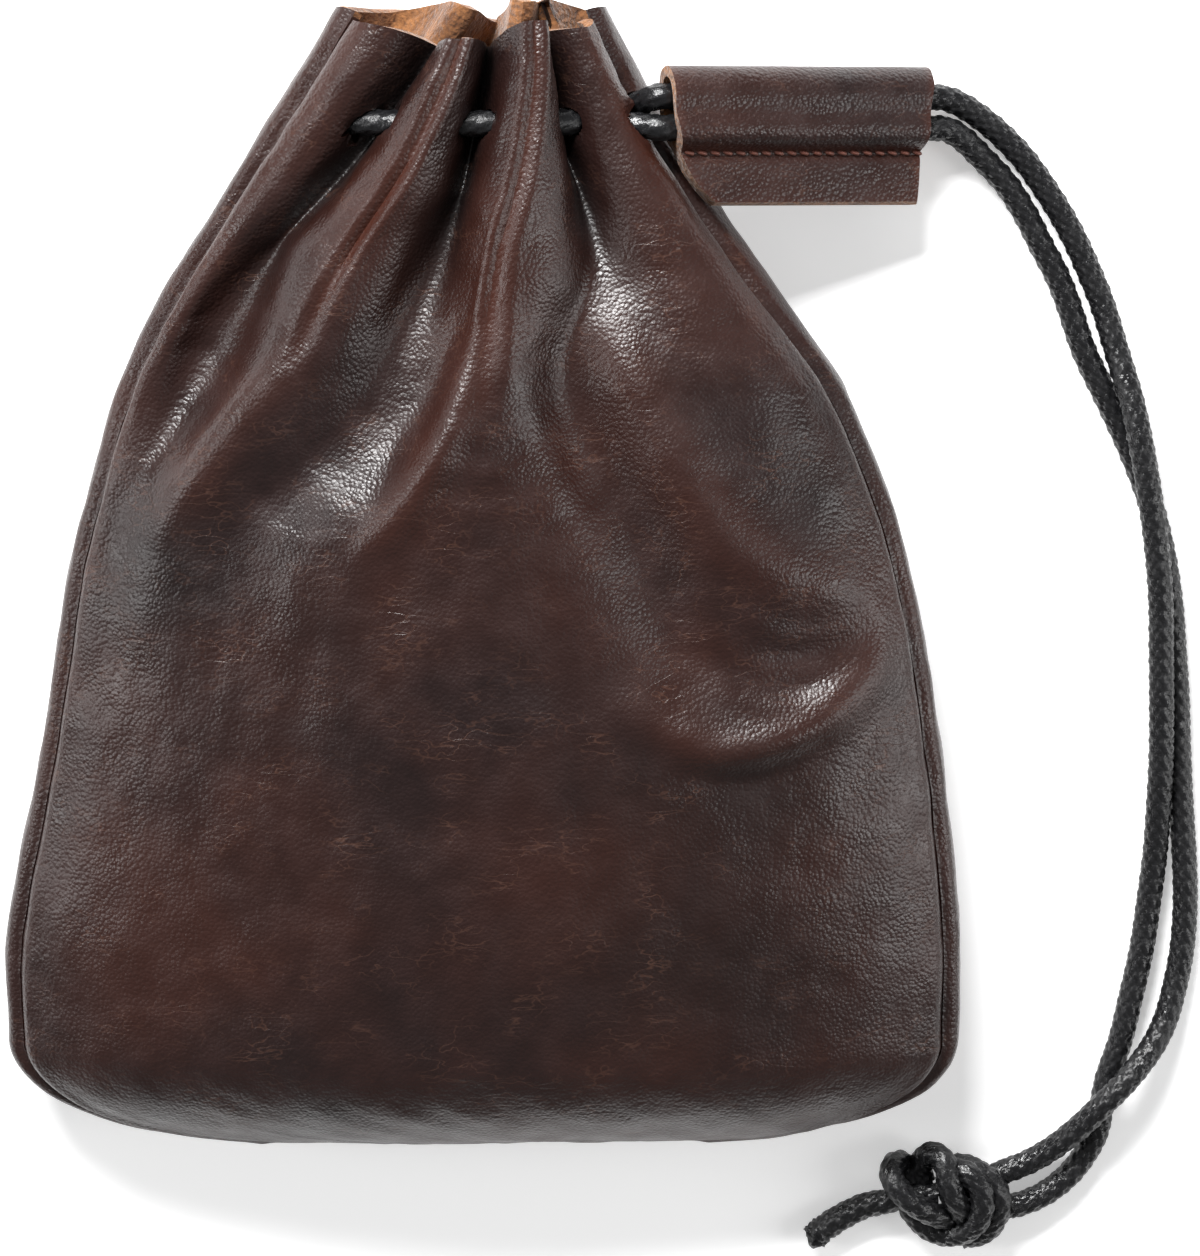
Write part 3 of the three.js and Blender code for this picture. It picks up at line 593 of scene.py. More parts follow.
@dataclass
class PouchForm:
    """The pouch's gathered form: an outline and a section down its length, folded along named lines.

    Heights and widths are shares of the sizes below. A fold line's place is a share of the half width from the
    middle, and its depth a share of the fold depth, at six stations down the length.
    """

    width: float = 116.7
    length: float = 138.6
    thickness: float = 27.0
    leather: float = 1.2
    fold_depth: float = 8.4
    corner_reach: float = 31.0
    corner_rise: float = 13.0
    share_above: float = 0.494
    closed_share: float = 0.025
    cord_share: float = 0.095
    bulge: float = 0.3
    rim_fade: float = 0.16
    stations: tuple = (0, 0.1, 0.2, 0.33, 0.47, 0.78)
    section_table: dict[str, tuple] = field(default_factory=lambda: {
        "down": (0, 0.045, 0.104, 0.164, 0.25, 0.336, 0.467, 0.6, 0.732, 0.849, 1),
        "left": (0.283, 0.353, 0.441, 0.526, 0.653, 0.748, 0.836, 0.893, 0.955, 1, 0.985),
        "right": (0.262, 0.316, 0.385, 0.482, 0.625, 0.758, 0.876, 0.942, 0.982, 1, 0.997),
        "seam_left": (0.46, 0.46, 0.46, 0.45, 0.44, 0.42, 0.40, 0.38, 0.36, 0.34, 0.31),
        "seam_right": (0.36, 0.34, 0.32, 0.32, 0.36, 0.39, 0.39, 0.38, 0.36, 0.34, 0.31),
        "crest": (0.90, 0.92, 0.93, 0.95, 0.97, 0.99, 1, 1, 0.97, 0.92, 0.80),
        "under": (0.075, 0.055, 0.04, 0.02, 0, 0, 0, 0, 0, 0, 0),
    })
    front_lines: tuple = (
        (-0.93, -0.945, -0.96, -0.97, -0.97, -0.97),
        (-0.80, -0.84, -0.90, -0.94, -0.95, -0.86),
        (-0.36, -0.52, -0.74, -0.81, -0.88, -0.66),
        (-0.07, -0.20, -0.42, -0.56, -0.80, -0.45),
        (0.21, 0.07, -0.10, -0.32, -0.575, -0.25),
        (0.49, 0.33, 0.12, 0, -0.30, -0.05),
        (0.71, 0.62, 0.50, 0.27, 0.36, 0.30),
        (0.86, 0.84, 0.86, 0.88, 0.90, 0.70),
        (0.96, 0.955, 0.95, 0.97, 0.97, 0.97),
    )
    back_lines: tuple = (
        (-0.55, -0.76, -0.80, -0.84, -0.85, -0.80),
        (-0.03, -0.40, -0.56, -0.62, -0.60, -0.55),
        (0.19, -0.06, -0.25, -0.32, -0.32, -0.30),
        (0.38, 0.16, 0.02, 0, 0, 0),
        (0.59, 0.40, 0.30, 0.32, 0.32, 0.30),
        (0.78, 0.62, 0.56, 0.60, 0.60, 0.55),
        (0.92, 0.84, 0.82, 0.84, 0.85, 0.80),
    )
    front_depths: tuple = (
        (0.12, 0.14, 0.12, 0.05, 0, 0),
        (0.02, 0, 0, 0, 0, 0),
        (0.80, 0.85, 0.60, 0.24, 0.06, 0),
        (0.04, 0, 0, 0, 0, 0),
        (0.90, 1, 0.70, 0.36, 0.14, 0),
        (0, 0, 0, 0, 0, 0),
        (0.85, 0.95, 0.72, 0.42, 0.18, 0),
        (0, 0, 0, 0, 0, 0),
        (0.16, 0.24, 0.22, 0.06, 0, 0),
    )
    back_depths: tuple = (
        (0, 0, 0, 0, 0, 0),
        (1.1, 0.85, 0.5, 0.12, 0, 0),
        (0.1, 0, 0, 0, 0, 0),
        (1.25, 0.9, 0.55, 0.15, 0, 0),
        (0.1, 0, 0, 0, 0, 0),
        (1.0, 0.85, 0.5, 0.12, 0, 0),
        (0, 0, 0, 0, 0, 0),
    )
    front_rim: tuple = (-0.16, -0.18, -0.52, -0.35, -0.52, -0.11, -0.36, -0.24, -0.12)
    back_rim: tuple = (-0.1, 0.02, -0.22, 0.12, -0.2, 0.06, -0.1)

    def section(self, down: np.ndarray) -> dict[str, np.ndarray]:
        """The outline and heights of the section, rounded off at the bottom by a quarter ellipse.

        Args:
            down: shares of the length.

        Returns:
            The middle, half width, seam heights, crest, underside, closing and Y, as columns.
        """
        table = self.section_table
        read = {name: monotone(table["down"], table[name], down) for name in table if name != "down"}
        start = 1 - self.corner_rise / self.length
        into = np.clip((down - start) / (1 - start), 0, 1)
        closing = np.sqrt(np.maximum(1 - into ** 2, self.closed_share ** 2))
        reach = self.corner_reach * (1 - closing)
        left = read["left"] * self.width / 2 - reach
        right = read["right"] * self.width / 2 - reach
        found = {
            "middle": (right - left) / 2,
            "half": (right + left) / 2,
            "closing": closing,
            "y": self.length * (self.share_above - down),
            **{name: read[name] * self.thickness for name in ("seam_left", "seam_right", "crest", "under")},
        }
        return {name: value[:, None] for name, value in found.items()}

    def ring(self, section: dict[str, np.ndarray], turn: np.ndarray) -> tuple[np.ndarray, np.ndarray]:
        """The unfolded section: half an ellipse in front, and the same behind, flattened on the ground.

        Args:
            section: from section().
            turn: 0 at the left edge, 1 at the right edge past the front, -1 past the back.

        Returns:
            X and Z.
        """
        wrapped = np.where(turn > 1, turn - 2, np.where(turn <= -1, turn + 2, turn))
        angle = np.pi * np.abs(wrapped)
        across, arch = -np.cos(angle), np.maximum(np.sin(angle), 0)
        seam = section["seam_left"] + (section["seam_right"] - section["seam_left"]) * (across + 1) / 2
        front = (section["crest"] - seam) * section["closing"] * arch
        back = (seam - section["under"]) * section["closing"] * np.minimum(1, 1.18 * arch ** 0.8)
        return section["middle"] + section["half"] * across, np.where(wrapped >= 0, seam + front, seam - back)

    def lines(self, side: Side, down: np.ndarray) -> tuple[np.ndarray, np.ndarray, np.ndarray]:
        """The fold lines of one panel.

        Args:
            side: which panel.
            down: shares of the length.

        Returns:
            Their turns round the section and their depths, a row for each share, and their rises at the rim.
        """
        def read(rows: tuple) -> np.ndarray:
            """The table's rows at the shares, as columns."""
            return np.stack([monotone(self.stations, row, down) for row in rows], axis=1)

        def turns(rows: tuple) -> np.ndarray:
            """The places in the table as turns round the section."""
            return np.arccos(np.clip(-read(rows), -1, 1)) / np.pi

        front, depths = turns(self.front_lines), read(self.front_depths) * self.fold_depth
        if side is Side.FRONT:
            return front, depths, np.array(self.front_rim) * self.fold_depth
        zero = np.zeros((len(down), 1))
        around = np.hstack([front[:, :1], zero, -turns(self.back_lines), zero - 1, front[:, -1:] - 2])
        behind = read(self.back_depths) * self.fold_depth
        deep = np.hstack([depths[:, :1], zero, behind, zero, depths[:, -1:]])
        return around, deep, np.concatenate([[0, 0], np.array(self.back_rim), [0, 0]]) * self.fold_depth

    def surface(self, side: Side, along: np.ndarray, down: np.ndarray) -> np.ndarray:
        """The leather's outer face, without its small creases.

        A point starts on the unfolded section, sinks by a cosine from one fold line to the next, and leans out
        over the valley by a sine.

        Args:
            side: which panel.
            along: places counted in fold lines from the left seam.
            down: shares of the length.

        Returns:
            Points, by row and column, in millimetres.
        """
        turns, depths, rises = self.lines(side, down)
        section = self.section(down)
        i = np.minimum(np.floor(along).astype(int), turns.shape[1] - 2)
        share = (along - i)[None, :]
        turn = turns[:, i] * (1 - share) + turns[:, i + 1] * share
        ease = (1 - np.cos(np.pi * share)) / 2
        depth = depths[:, i] * (1 - ease) + depths[:, i + 1] * ease
        step = 1e-4
        before, after = self.ring(section, turn - step), self.ring(section, turn + step)
        tangent_x, tangent_z = after[0] - before[0], after[1] - before[1]
        size = np.maximum(np.hypot(tangent_x, tangent_z), 1e-9)
        tangent_x, tangent_z = tangent_x / size, tangent_z / size
        start, end = self.ring(section, turns[:, i]), self.ring(section, turns[:, i + 1])
        spacing = np.hypot(end[0] - start[0], end[1] - start[1])
        fall = (depths[:, i + 1] - depths[:, i]) / self.fold_depth
        sink = np.where(fall > 0, ease, 1 - ease)
        forward = 1 if side is Side.FRONT else -1
        lean = forward * self.bulge * spacing * fall * np.sin(np.pi * share) * (1 - 0.4 * sink)
        x, z = self.ring(section, turn)
        fade = np.maximum(1 - down / self.rim_fade, 0)[:, None] ** 2
        rise = (rises[i] * (1 - ease) + rises[i + 1] * ease) * fade
        y = np.broadcast_to(section["y"], x.shape) + rise
        return np.stack([x + tangent_z * depth + tangent_x * lean, y, z - tangent_x * depth + tangent_z * lean], -1)


@dataclass
class CordSlide:
    """A strip of leather folded over both cords and sewn to itself below them."""

    form: PouchForm
    cord: float = 3.0
    clearance: float = 0.3
    spacing: float = 3.7
    length: float = 33.5
    leather: float = 1.3
    flap: float = 6.5
    slope: float = 19.5
    roll: float = 8.0
    turn: float = -1.6
    ease: float = 0.5
    to_neck: float = 0.5
    rise: float = 2.9
    slant_left: float = 0.17
    slant_right: float = 0.055
    stitches: int = 19
    stitch_length: float = 1.35
    thread: float = 0.5
    stitch_drop: float = 0.4
    lift: float = 1.3

    def __post_init__(self) -> None:
        """Works out the section's sizes and the slide's own frame."""
        self.channel = self.cord / 2 + self.clearance
        self.fold_height = self.channel + self.leather
        self.fold_reach = self.fold_height + self.ease
        self.lower_cord = self.fold_reach + self.spacing
        self.width = self.lower_cord + self.channel + self.leather * 0.6 + self.flap
        self.stitch_line = self.width - self.flap + self.stitch_drop
        section = self.form.section(np.array([self.form.cord_share]))
        self.neck = {name: float(value[0, 0]) for name, value in section.items()}
        self.place = np.array([
            self.neck["middle"] + self.neck["half"] + self.to_neck,
            self.neck["y"] + self.rise,
            self.form.thickness * 0.56,
        ])
        a, b, c = -np.radians(self.roll), np.radians(self.slope), np.radians(self.turn)
        about_x = np.array([[1, 0, 0], [0, np.cos(a), -np.sin(a)], [0, np.sin(a), np.cos(a)]])
        about_y = np.array([[np.cos(b), 0, np.sin(b)], [0, 1, 0], [-np.sin(b), 0, np.cos(b)]])
        about_z = np.array([[np.cos(c), -np.sin(c), 0], [np.sin(c), np.cos(c), 0], [0, 0, 1]])
        self.rotation = about_z @ about_y @ about_x

    def at(self, right: np.ndarray, across: np.ndarray, up: np.ndarray) -> np.ndarray:
        """Points of the slide in the row frame.

        Args:
            right: from its left mouth.
            across: from its fold, down the picture.
            up: from its underside.

        Returns:
            The points, in millimetres.
        """
        right, across, up = np.broadcast_arrays(right, across, up)
        own = np.stack([right, self.fold_reach - across, up - self.fold_height], axis=-1)
        return own @ self.rotation.T + self.place

    def strip(self) -> tuple[np.ndarray, np.ndarray]:
        """The folded strip's section, from the upper flap's free edge round the fold to the lower flap's.

        The outer line is the flap, an ease up over the cords, half an ellipse round the fold and a flat
        underside. The inner line is one thickness inside it.

        Returns:
            Outer and inner points: across and up.
        """
        top = 2 * self.fold_height
        flap_top = 2 * self.leather + self.lift
        foot = self.stitch_line + 0.4
        flap = np.stack([np.linspace(self.width, foot, 14), np.full(14, flap_top)], 1)
        share = np.linspace(0, 1, 22)[1:, None]
        ends = np.array([[foot, flap_top], [foot - 1.3, flap_top],
                         [self.lower_cord + 2.4, top], [self.lower_cord, top]])
        fall = ((1 - share) ** 3 * ends[0] + 3 * (1 - share) ** 2 * share * ends[1]
                + 3 * (1 - share) * share ** 2 * ends[2] + share ** 3 * ends[3])
        over = np.stack([np.linspace(self.lower_cord, self.fold_reach, 14)[1:], np.full(13, top)], 1)
        over[:, 1] -= 0.22 * np.sin(np.linspace(0, np.pi, 14)[1:]) ** 2
        angle = np.radians(np.linspace(90, 270, 34)[1:, None])
        fold = np.hstack([self.fold_reach + self.fold_reach * np.cos(angle),
                          self.fold_height + self.fold_height * np.sin(angle)])
        across = np.linspace(self.fold_reach, self.width, 44)[1:]
        raised = np.clip((across - self.lower_cord) / (foot - self.lower_cord), 0, 1)
        under = np.stack([across, self.lift * raised ** 2 * (3 - 2 * raised)], 1)
        outer = np.concatenate([flap, fall, over, fold, under])
        along = unit(np.gradient(outer, axis=0))
        inward = np.stack([-along[:, 1], along[:, 0]], axis=1)
        return outer, outer + inward * (self.leather - 0.03)

    def build(self, wardrobe: Wardrobe) -> bpy.types.Object:
        """Makes the folded strip: its section carried along its length between two slanted ends.

        Args:
            wardrobe: the finishes.

        Returns:
            The piece; the stitches are made separately by sew().
        """
        grids = []
        share = np.linspace(0, 1, 96)
        for line, depth in zip(self.strip(), (1.0, 0.4)):
            across, up = line[:, 0][:, None], line[:, 1][:, None]
            bent = across / self.width
            left = self.length * self.slant_left * bent ** 3 + 0.12 * soft_noise(across * 0.4, up * 0.7, 5)
            right = self.length * (1 - self.slant_right * bent) + 0.16 * soft_noise(across * 0.5, up * 0.8, 6)
            right = right - 0.45 * (depth == 1.0)
            place = left + (right - left) * share[None, :]
            wave = depth * 0.10 * soft_noise(place * 0.16 + 7, across * 0.25 + up * 0.2, 8)
            upper = (np.arange(len(line)) < 49)[:, None]
            dent = 0.28 * np.exp(-((across - self.stitch_line) / 0.55) ** 2) * upper * depth
            edge_droop = 0.25 * np.clip(bent - 0.8, 0, 1) * np.sin(place * 0.3)
            own_up = up - dent + wave * (up > self.leather + self.lift) + edge_droop * (across > self.stitch_line)
            across = across - 0.3 * np.clip((bent - 0.9) * 10, 0, 1) * (depth == 1.0) * upper
            grids.append(self.at(place, across, own_up))
        outer, inner = grids
        kept = np.ones((outer.shape[0] - 1, outer.shape[1] - 1), bool)
        quads, slots = sheet_faces(outer.shape[0], outer.shape[1], kept)
        across = self.strip()[0][:, 0][:, None] + 0 * share[None, :]
        wear = 0.5 * np.exp(-((across - self.stitch_line) / 0.8) ** 2)
        rim = np.minimum(share, 1 - share)[None, :] * self.length
        wear = np.clip(wear + 0.5 * np.exp(-(rim / 0.8) ** 2) + 0.3 * np.exp(-(self.width - across) / 0.6), 0, 1)
        zeros = np.zeros(2 * wear.size)
        return make_object(
            "slide_strip", np.concatenate([outer.reshape(-1, 3), inner.reshape(-1, 3)]), quads[:, ::-1],
            [wardrobe.slide_leather, wardrobe.suede, wardrobe.suede], slots, sharp_degrees=55,
            bent=np.concatenate([wear.ravel(), zeros[:wear.size]]), wax=zeros)

    def sew(self, wardrobe: Wardrobe) -> bpy.types.Object:
        """Makes the stitches, on both faces: short slanted capsules, each a ring of radii along a low arc.

        Args:
            wardrobe: the finishes.

        Returns:
            The piece.
        """
        u = np.linspace(-1, 1, 9)[:, None]
        v = np.linspace(0, 2 * np.pi, 8, endpoint=False)[None, :]
        radius = self.thread / 2 * np.sqrt(np.maximum(1 - u ** 4, 0.02))
        run = u * self.stitch_length / 2 + 0 * v
        rise = 0.16 * (1 - u ** 2)
        groups, faces = [], []
        bent = self.stitch_line / self.width
        first, last = self.length * self.slant_left * bent ** 3 + 1.0, self.length * (1 - self.slant_right * bent) - 0.9
        centres = np.linspace(first, last, self.stitches)
        slant = np.radians(14)
        number = np.arange(72).reshape(9, 8)
        after = np.roll(number, -1, axis=1)
        quads = np.stack([number[:-1], number[1:], after[1:], after[:-1]], -1).reshape(-1, 4)
        caps = np.array([[0, 1, 2, 3], [0, 3, 4, 7], [4, 5, 6, 7]])
        whole = np.concatenate([quads, caps, (caps + 64)[:, ::-1]])
        for face, level in ((1, 2 * self.leather + self.lift - 0.14), (-1, self.lift + 0.02)):
            for k, centre in enumerate(centres):
                right = centre + run * np.cos(slant) - radius * np.cos(v) * np.sin(slant)
                across = self.stitch_line + run * np.sin(slant) + radius * np.cos(v) * np.cos(slant)
                up = level + face * (rise + radius * np.sin(v))
                turned = whole if face == 1 else whole[:, ::-1]
                faces.append(turned + 72 * len(groups))
                groups.append(self.at(right, across, up).reshape(-1, 3))
        return make_object("slide_stitches", np.concatenate(groups), np.concatenate(faces), [wardrobe.thread])


@dataclass
class DrawCord:
    """The drawcord: held in the neck and the slide, and free from the slide to the knot."""

    form: PouchForm
    slide: CordSlide
    braid: BraidedCord = field(default_factory=BraidedCord)
    outer_route: tuple = (
        (54.41, 57.31, 3.74), (55.8, 57.12, 3.25), (57.6, 56.37, 2.70), (59.8, 54.97, 2.20), (62.5, 52.77, 1.80),
        (65.4, 49.77, 1.60), (67.9, 46.37, 1.55), (70.2, 42.77, 1.55), (72.0, 39.47, 1.55), (73.6, 35.97, 1.55),
        (75.1, 32.37, 1.60), (76.9, 26.67, 2.30), (78.7, 20.67, 3.75), (80.0, 14.77, 4.70), (81.1, 8.67, 4.90),
        (82.0, 2.57, 4.85), (82.6, -3.63, 4.60), (82.8, -9.83, 4.40), (83.0, -16.13, 4.15), (83.1, -22.53, 3.90),
        (83.0, -28.93, 3.25), (82.8, -35.33, 2.20), (82.2, -41.73, 1.60), (81.4, -48.03, 1.55),
        (80.1, -54.43, 1.55), (79.0, -59.53, 1.55), (77.4, -64.63, 1.55), (76.8, -68.23, 1.55),
        (76.2, -71.33, 1.55), (74.9, -74.03, 1.55), (72.8, -76.83, 1.60), (69.9, -79.13, 1.80),
        (67.2, -80.23, 2.30), (65.5, -80.63, 2.60),
    )
    inner_route: tuple = (
        (54.48, 53.64, 4.22), (55.9, 53.47, 3.70), (57.8, 52.37, 3.00), (60.3, 49.97, 2.20), (63.3, 46.77, 1.70),
        (65.9, 42.77, 1.58), (67.6, 39.47, 1.55), (69.5, 35.97, 1.55), (71.0, 32.37, 1.55), (73.0, 26.67, 1.55),
        (76.0, 20.57, 1.55), (78.9, 14.47, 1.55), (81.3, 8.37, 1.55), (83.0, 2.17, 1.55), (84.1, -4.03, 1.55),
        (84.7, -10.23, 1.55), (85.2, -16.43, 1.55), (85.5, -22.73, 1.55), (85.9, -29.03, 1.55),
        (86.4, -35.33, 1.55), (86.7, -41.63, 1.55), (86.4, -47.93, 1.60), (85.5, -53.03, 1.80),
        (84.4, -56.83, 2.40), (82.8, -59.83, 3.40), (79.8, -63.53, 4.70), (76.7, -66.73, 5.05),
        (73.7, -69.93, 4.50), (70.5, -72.93, 3.40), (67.4, -74.93, 2.85), (64.4, -76.13, 2.80),
    )

    def neck_path(self) -> np.ndarray:
        """The held run: through the slide, round the gathered neck half a fold deep, and back."""
        inset = self.form.fold_depth * 0.66
        turns = 0.80 - 1.60 * np.arange(23) / 22
        section = self.form.section(np.array([self.form.cord_share]))
        x, z = self.form.ring(section, turns[None, :])
        before, after = self.form.ring(section, turns[None, :] - 1e-4), self.form.ring(section, turns[None, :] + 1e-4)
        dx, dz = after[0] - before[0], after[1] - before[1]
        size = np.hypot(dx, dz)
        loop = np.stack([x + dz / size * inset, np.full_like(x, self.slide.neck["y"]), z - dx / size * inset], -1)[0]
        shares = np.array([1, 0.75, 0.5, 0.25, 0.1, 0, -0.03]) * (self.slide.length - 2.0)
        lower = self.slide.at(shares, self.slide.lower_cord, self.slide.fold_height)
        upper = self.slide.at(shares[::-1], self.slide.fold_reach, self.slide.fold_height)
        return np.concatenate([lower, loop, upper])

    def build(self, wardrobe: Wardrobe) -> list[bpy.types.Object]:
        """Makes the held run and the two free strands.

        Args:
            wardrobe: the finishes.

        Returns:
            The held run, the outer strand and the inner strand.
        """
        held = self.braid.tube(
            "held_cord", smooth_path(self.neck_path(), 0.4), wardrobe.cord, (0, 1, 0), sides=24)
        strands = []
        for name, route, across in (
            ("outer_strand", self.outer_route, self.slide.fold_reach),
            ("inner_strand", self.inner_route, self.slide.lower_cord),
        ):
            inside = self.slide.at(np.array([-1.9, -1.0, 0.0]) + self.slide.length, across, self.slide.fold_height)
            path = smooth_path(np.concatenate([inside, np.array(route)]), self.braid.spacing)
            strands.append(self.braid.tube(name, path, wardrobe.cord))
        return [held, *strands]

    def free_paths(self) -> list[np.ndarray]:
        """The two free runs from the slide's mouth to the knot, in millimetres."""
        return [smooth_path(route, 2.0) for route in (self.outer_route, self.inner_route)]


@dataclass
class EndKnot:
    """The overhand knot of both cord ends, and its short tail, fused by a flame."""

    braid: BraidedCord = field(default_factory=lambda: BraidedCord(spacing=0.22))
    turns: dict[str, tuple] = field(default_factory=lambda: {
        "left": ((53.3, -77.1, 2.0), (52.0, -75.0, 2.6), (50.8, -74.9, 4.2), (50.7, -76.3, 5.6),
                 (52.3, -78.3, 6.3), (54.8, -80.2, 5.8), (57.2, -81.5, 4.2), (58.7, -81.6, 2.6)),
        "middle": ((54.6, -77.4, 2.0), (54.4, -75.1, 2.8), (55.5, -73.3, 4.4), (56.9, -73.7, 5.8),
                   (57.5, -75.5, 6.6), (58.0, -77.8, 6.6), (59.1, -80.0, 5.4), (59.5, -81.5, 3.6)),
        "lower": ((52.5, -79.4, 2.2), (53.6, -81.6, 2.4), (55.8, -83.6, 2.8), (58.5, -83.9, 3.6),
                  (60.8, -82.4, 5.0), (61.8, -79.7, 6.2), (61.4, -77.0, 6.6), (59.7, -75.3, 6.0),
                  (57.9, -75.1, 4.4)),
        "right": ((59.7, -84.7, 1.8), (62.3, -83.8, 2.8), (63.8, -81.1, 4.2), (63.8, -78.2, 5.2),
                  (62.4, -76.2, 5.2), (60.3, -75.1, 4.4), (58.6, -75.1, 3.0)),
        "outer_end": ((65.9, -80.5, 2.6), (64.0, -80.7, 2.6), (61.0, -80.6, 2.6), (57.0, -80.0, 2.4)),
        "inner_end": ((64.8, -76.0, 2.8), (63.0, -76.8, 2.8), (60.0, -77.6, 2.6), (56.5, -78.4, 2.4)),
    })
    tail_route: tuple = (
        (56.5, -79.0, 2.8), (52.4, -79.1, 2.8), (50.1, -80.0, 2.4), (47.7, -80.6, 2.0), (45.6, -81.6, 1.85),
        (43.6, -82.8, 1.8), (41.9, -84.1, 1.75), (40.7, -85.0, 1.6),
    )
    tail_swell: float = 1.12

    def build(self, wardrobe: Wardrobe) -> bpy.types.Object:
        """Makes the knot's turns and its tail, and joins them to one piece.

        The tail's radius grows to its fused end by a share of its length, and random lumps break its last
        millimetres.

        Args:
            wardrobe: the finishes.

        Returns:
            The piece.
        """
        parts = [
            self.braid.tube(f"knot_{name}", smooth_path(route, self.braid.spacing), wardrobe.cord, (0.35, 0.2, 0.9))
            for name, route in self.turns.items()
        ]
        path = smooth_path(self.tail_route, self.braid.spacing)
        share = np.linspace(0, 1, len(path))
        lumps = 0.10 * soft_noise(share * 60, share * 0, 11) * np.clip((share - 0.8) / 0.1, 0, 1)
        swell = 0.96 + (self.tail_swell - 0.96) * share + lumps - 0.35 * np.clip((share - 0.97) / 0.03, 0, 1)
        tail = self.braid.tube("knot_tail", path, wardrobe.cord, swell=swell)
        self.fray(tail, path[-1])
        parts.append(tail)
        return join("end_knot_turns", parts)

    def fray(self, tail: bpy.types.Object, tip: np.ndarray) -> None:
        """Breaks the tail's last 3 mm into melted lumps: random steps that grow towards the tip.

        Args:
            tail: the tail's tube.
            tip: where its centreline ends, in millimetres.
        """
        mesh = tail.data
        points = np.empty(len(mesh.vertices) * 3, np.float32)
        mesh.vertices.foreach_get("co", points)
        points = points.reshape(-1, 3) / MM
        nearness = np.clip(1 - np.linalg.norm(points - tip, axis=1) / 3.6, 0, 1)
        coarse = np.stack([soft_noise(points[:, 0] * 1.6, points[:, 1] * 1.6 + points[:, 2] * 1.9, 20 + k)
                           for k in range(3)], axis=1)
        fine = np.stack([soft_noise(points[:, 0] * 4 + 9, points[:, 1] * 4 + points[:, 2] * 4, 30 + k)
                         for k in range(3)], axis=1)
        points += nearness[:, None] * (0.75 * coarse + 0.3 * fine)
        points[:, 2] = np.maximum(points[:, 2], 0.05)
        mesh.vertices.foreach_set("co", (points * MM).astype(np.float32).ravel())
        mesh.update()


def join(name: str, parts: list[bpy.types.Object]) -> bpy.types.Object:
    """Joins pieces to one.

    Args:
        name: the new piece's name.
        parts: the pieces, all at the origin.

    Returns:
        The joined piece.
    """
    with bpy.context.temp_override(
        active_object=parts[0], object=parts[0], selected_objects=parts, selected_editable_objects=parts
    ):
        bpy.ops.object.join()
    parts[0].name = parts[0].data.name = name
    return parts[0]


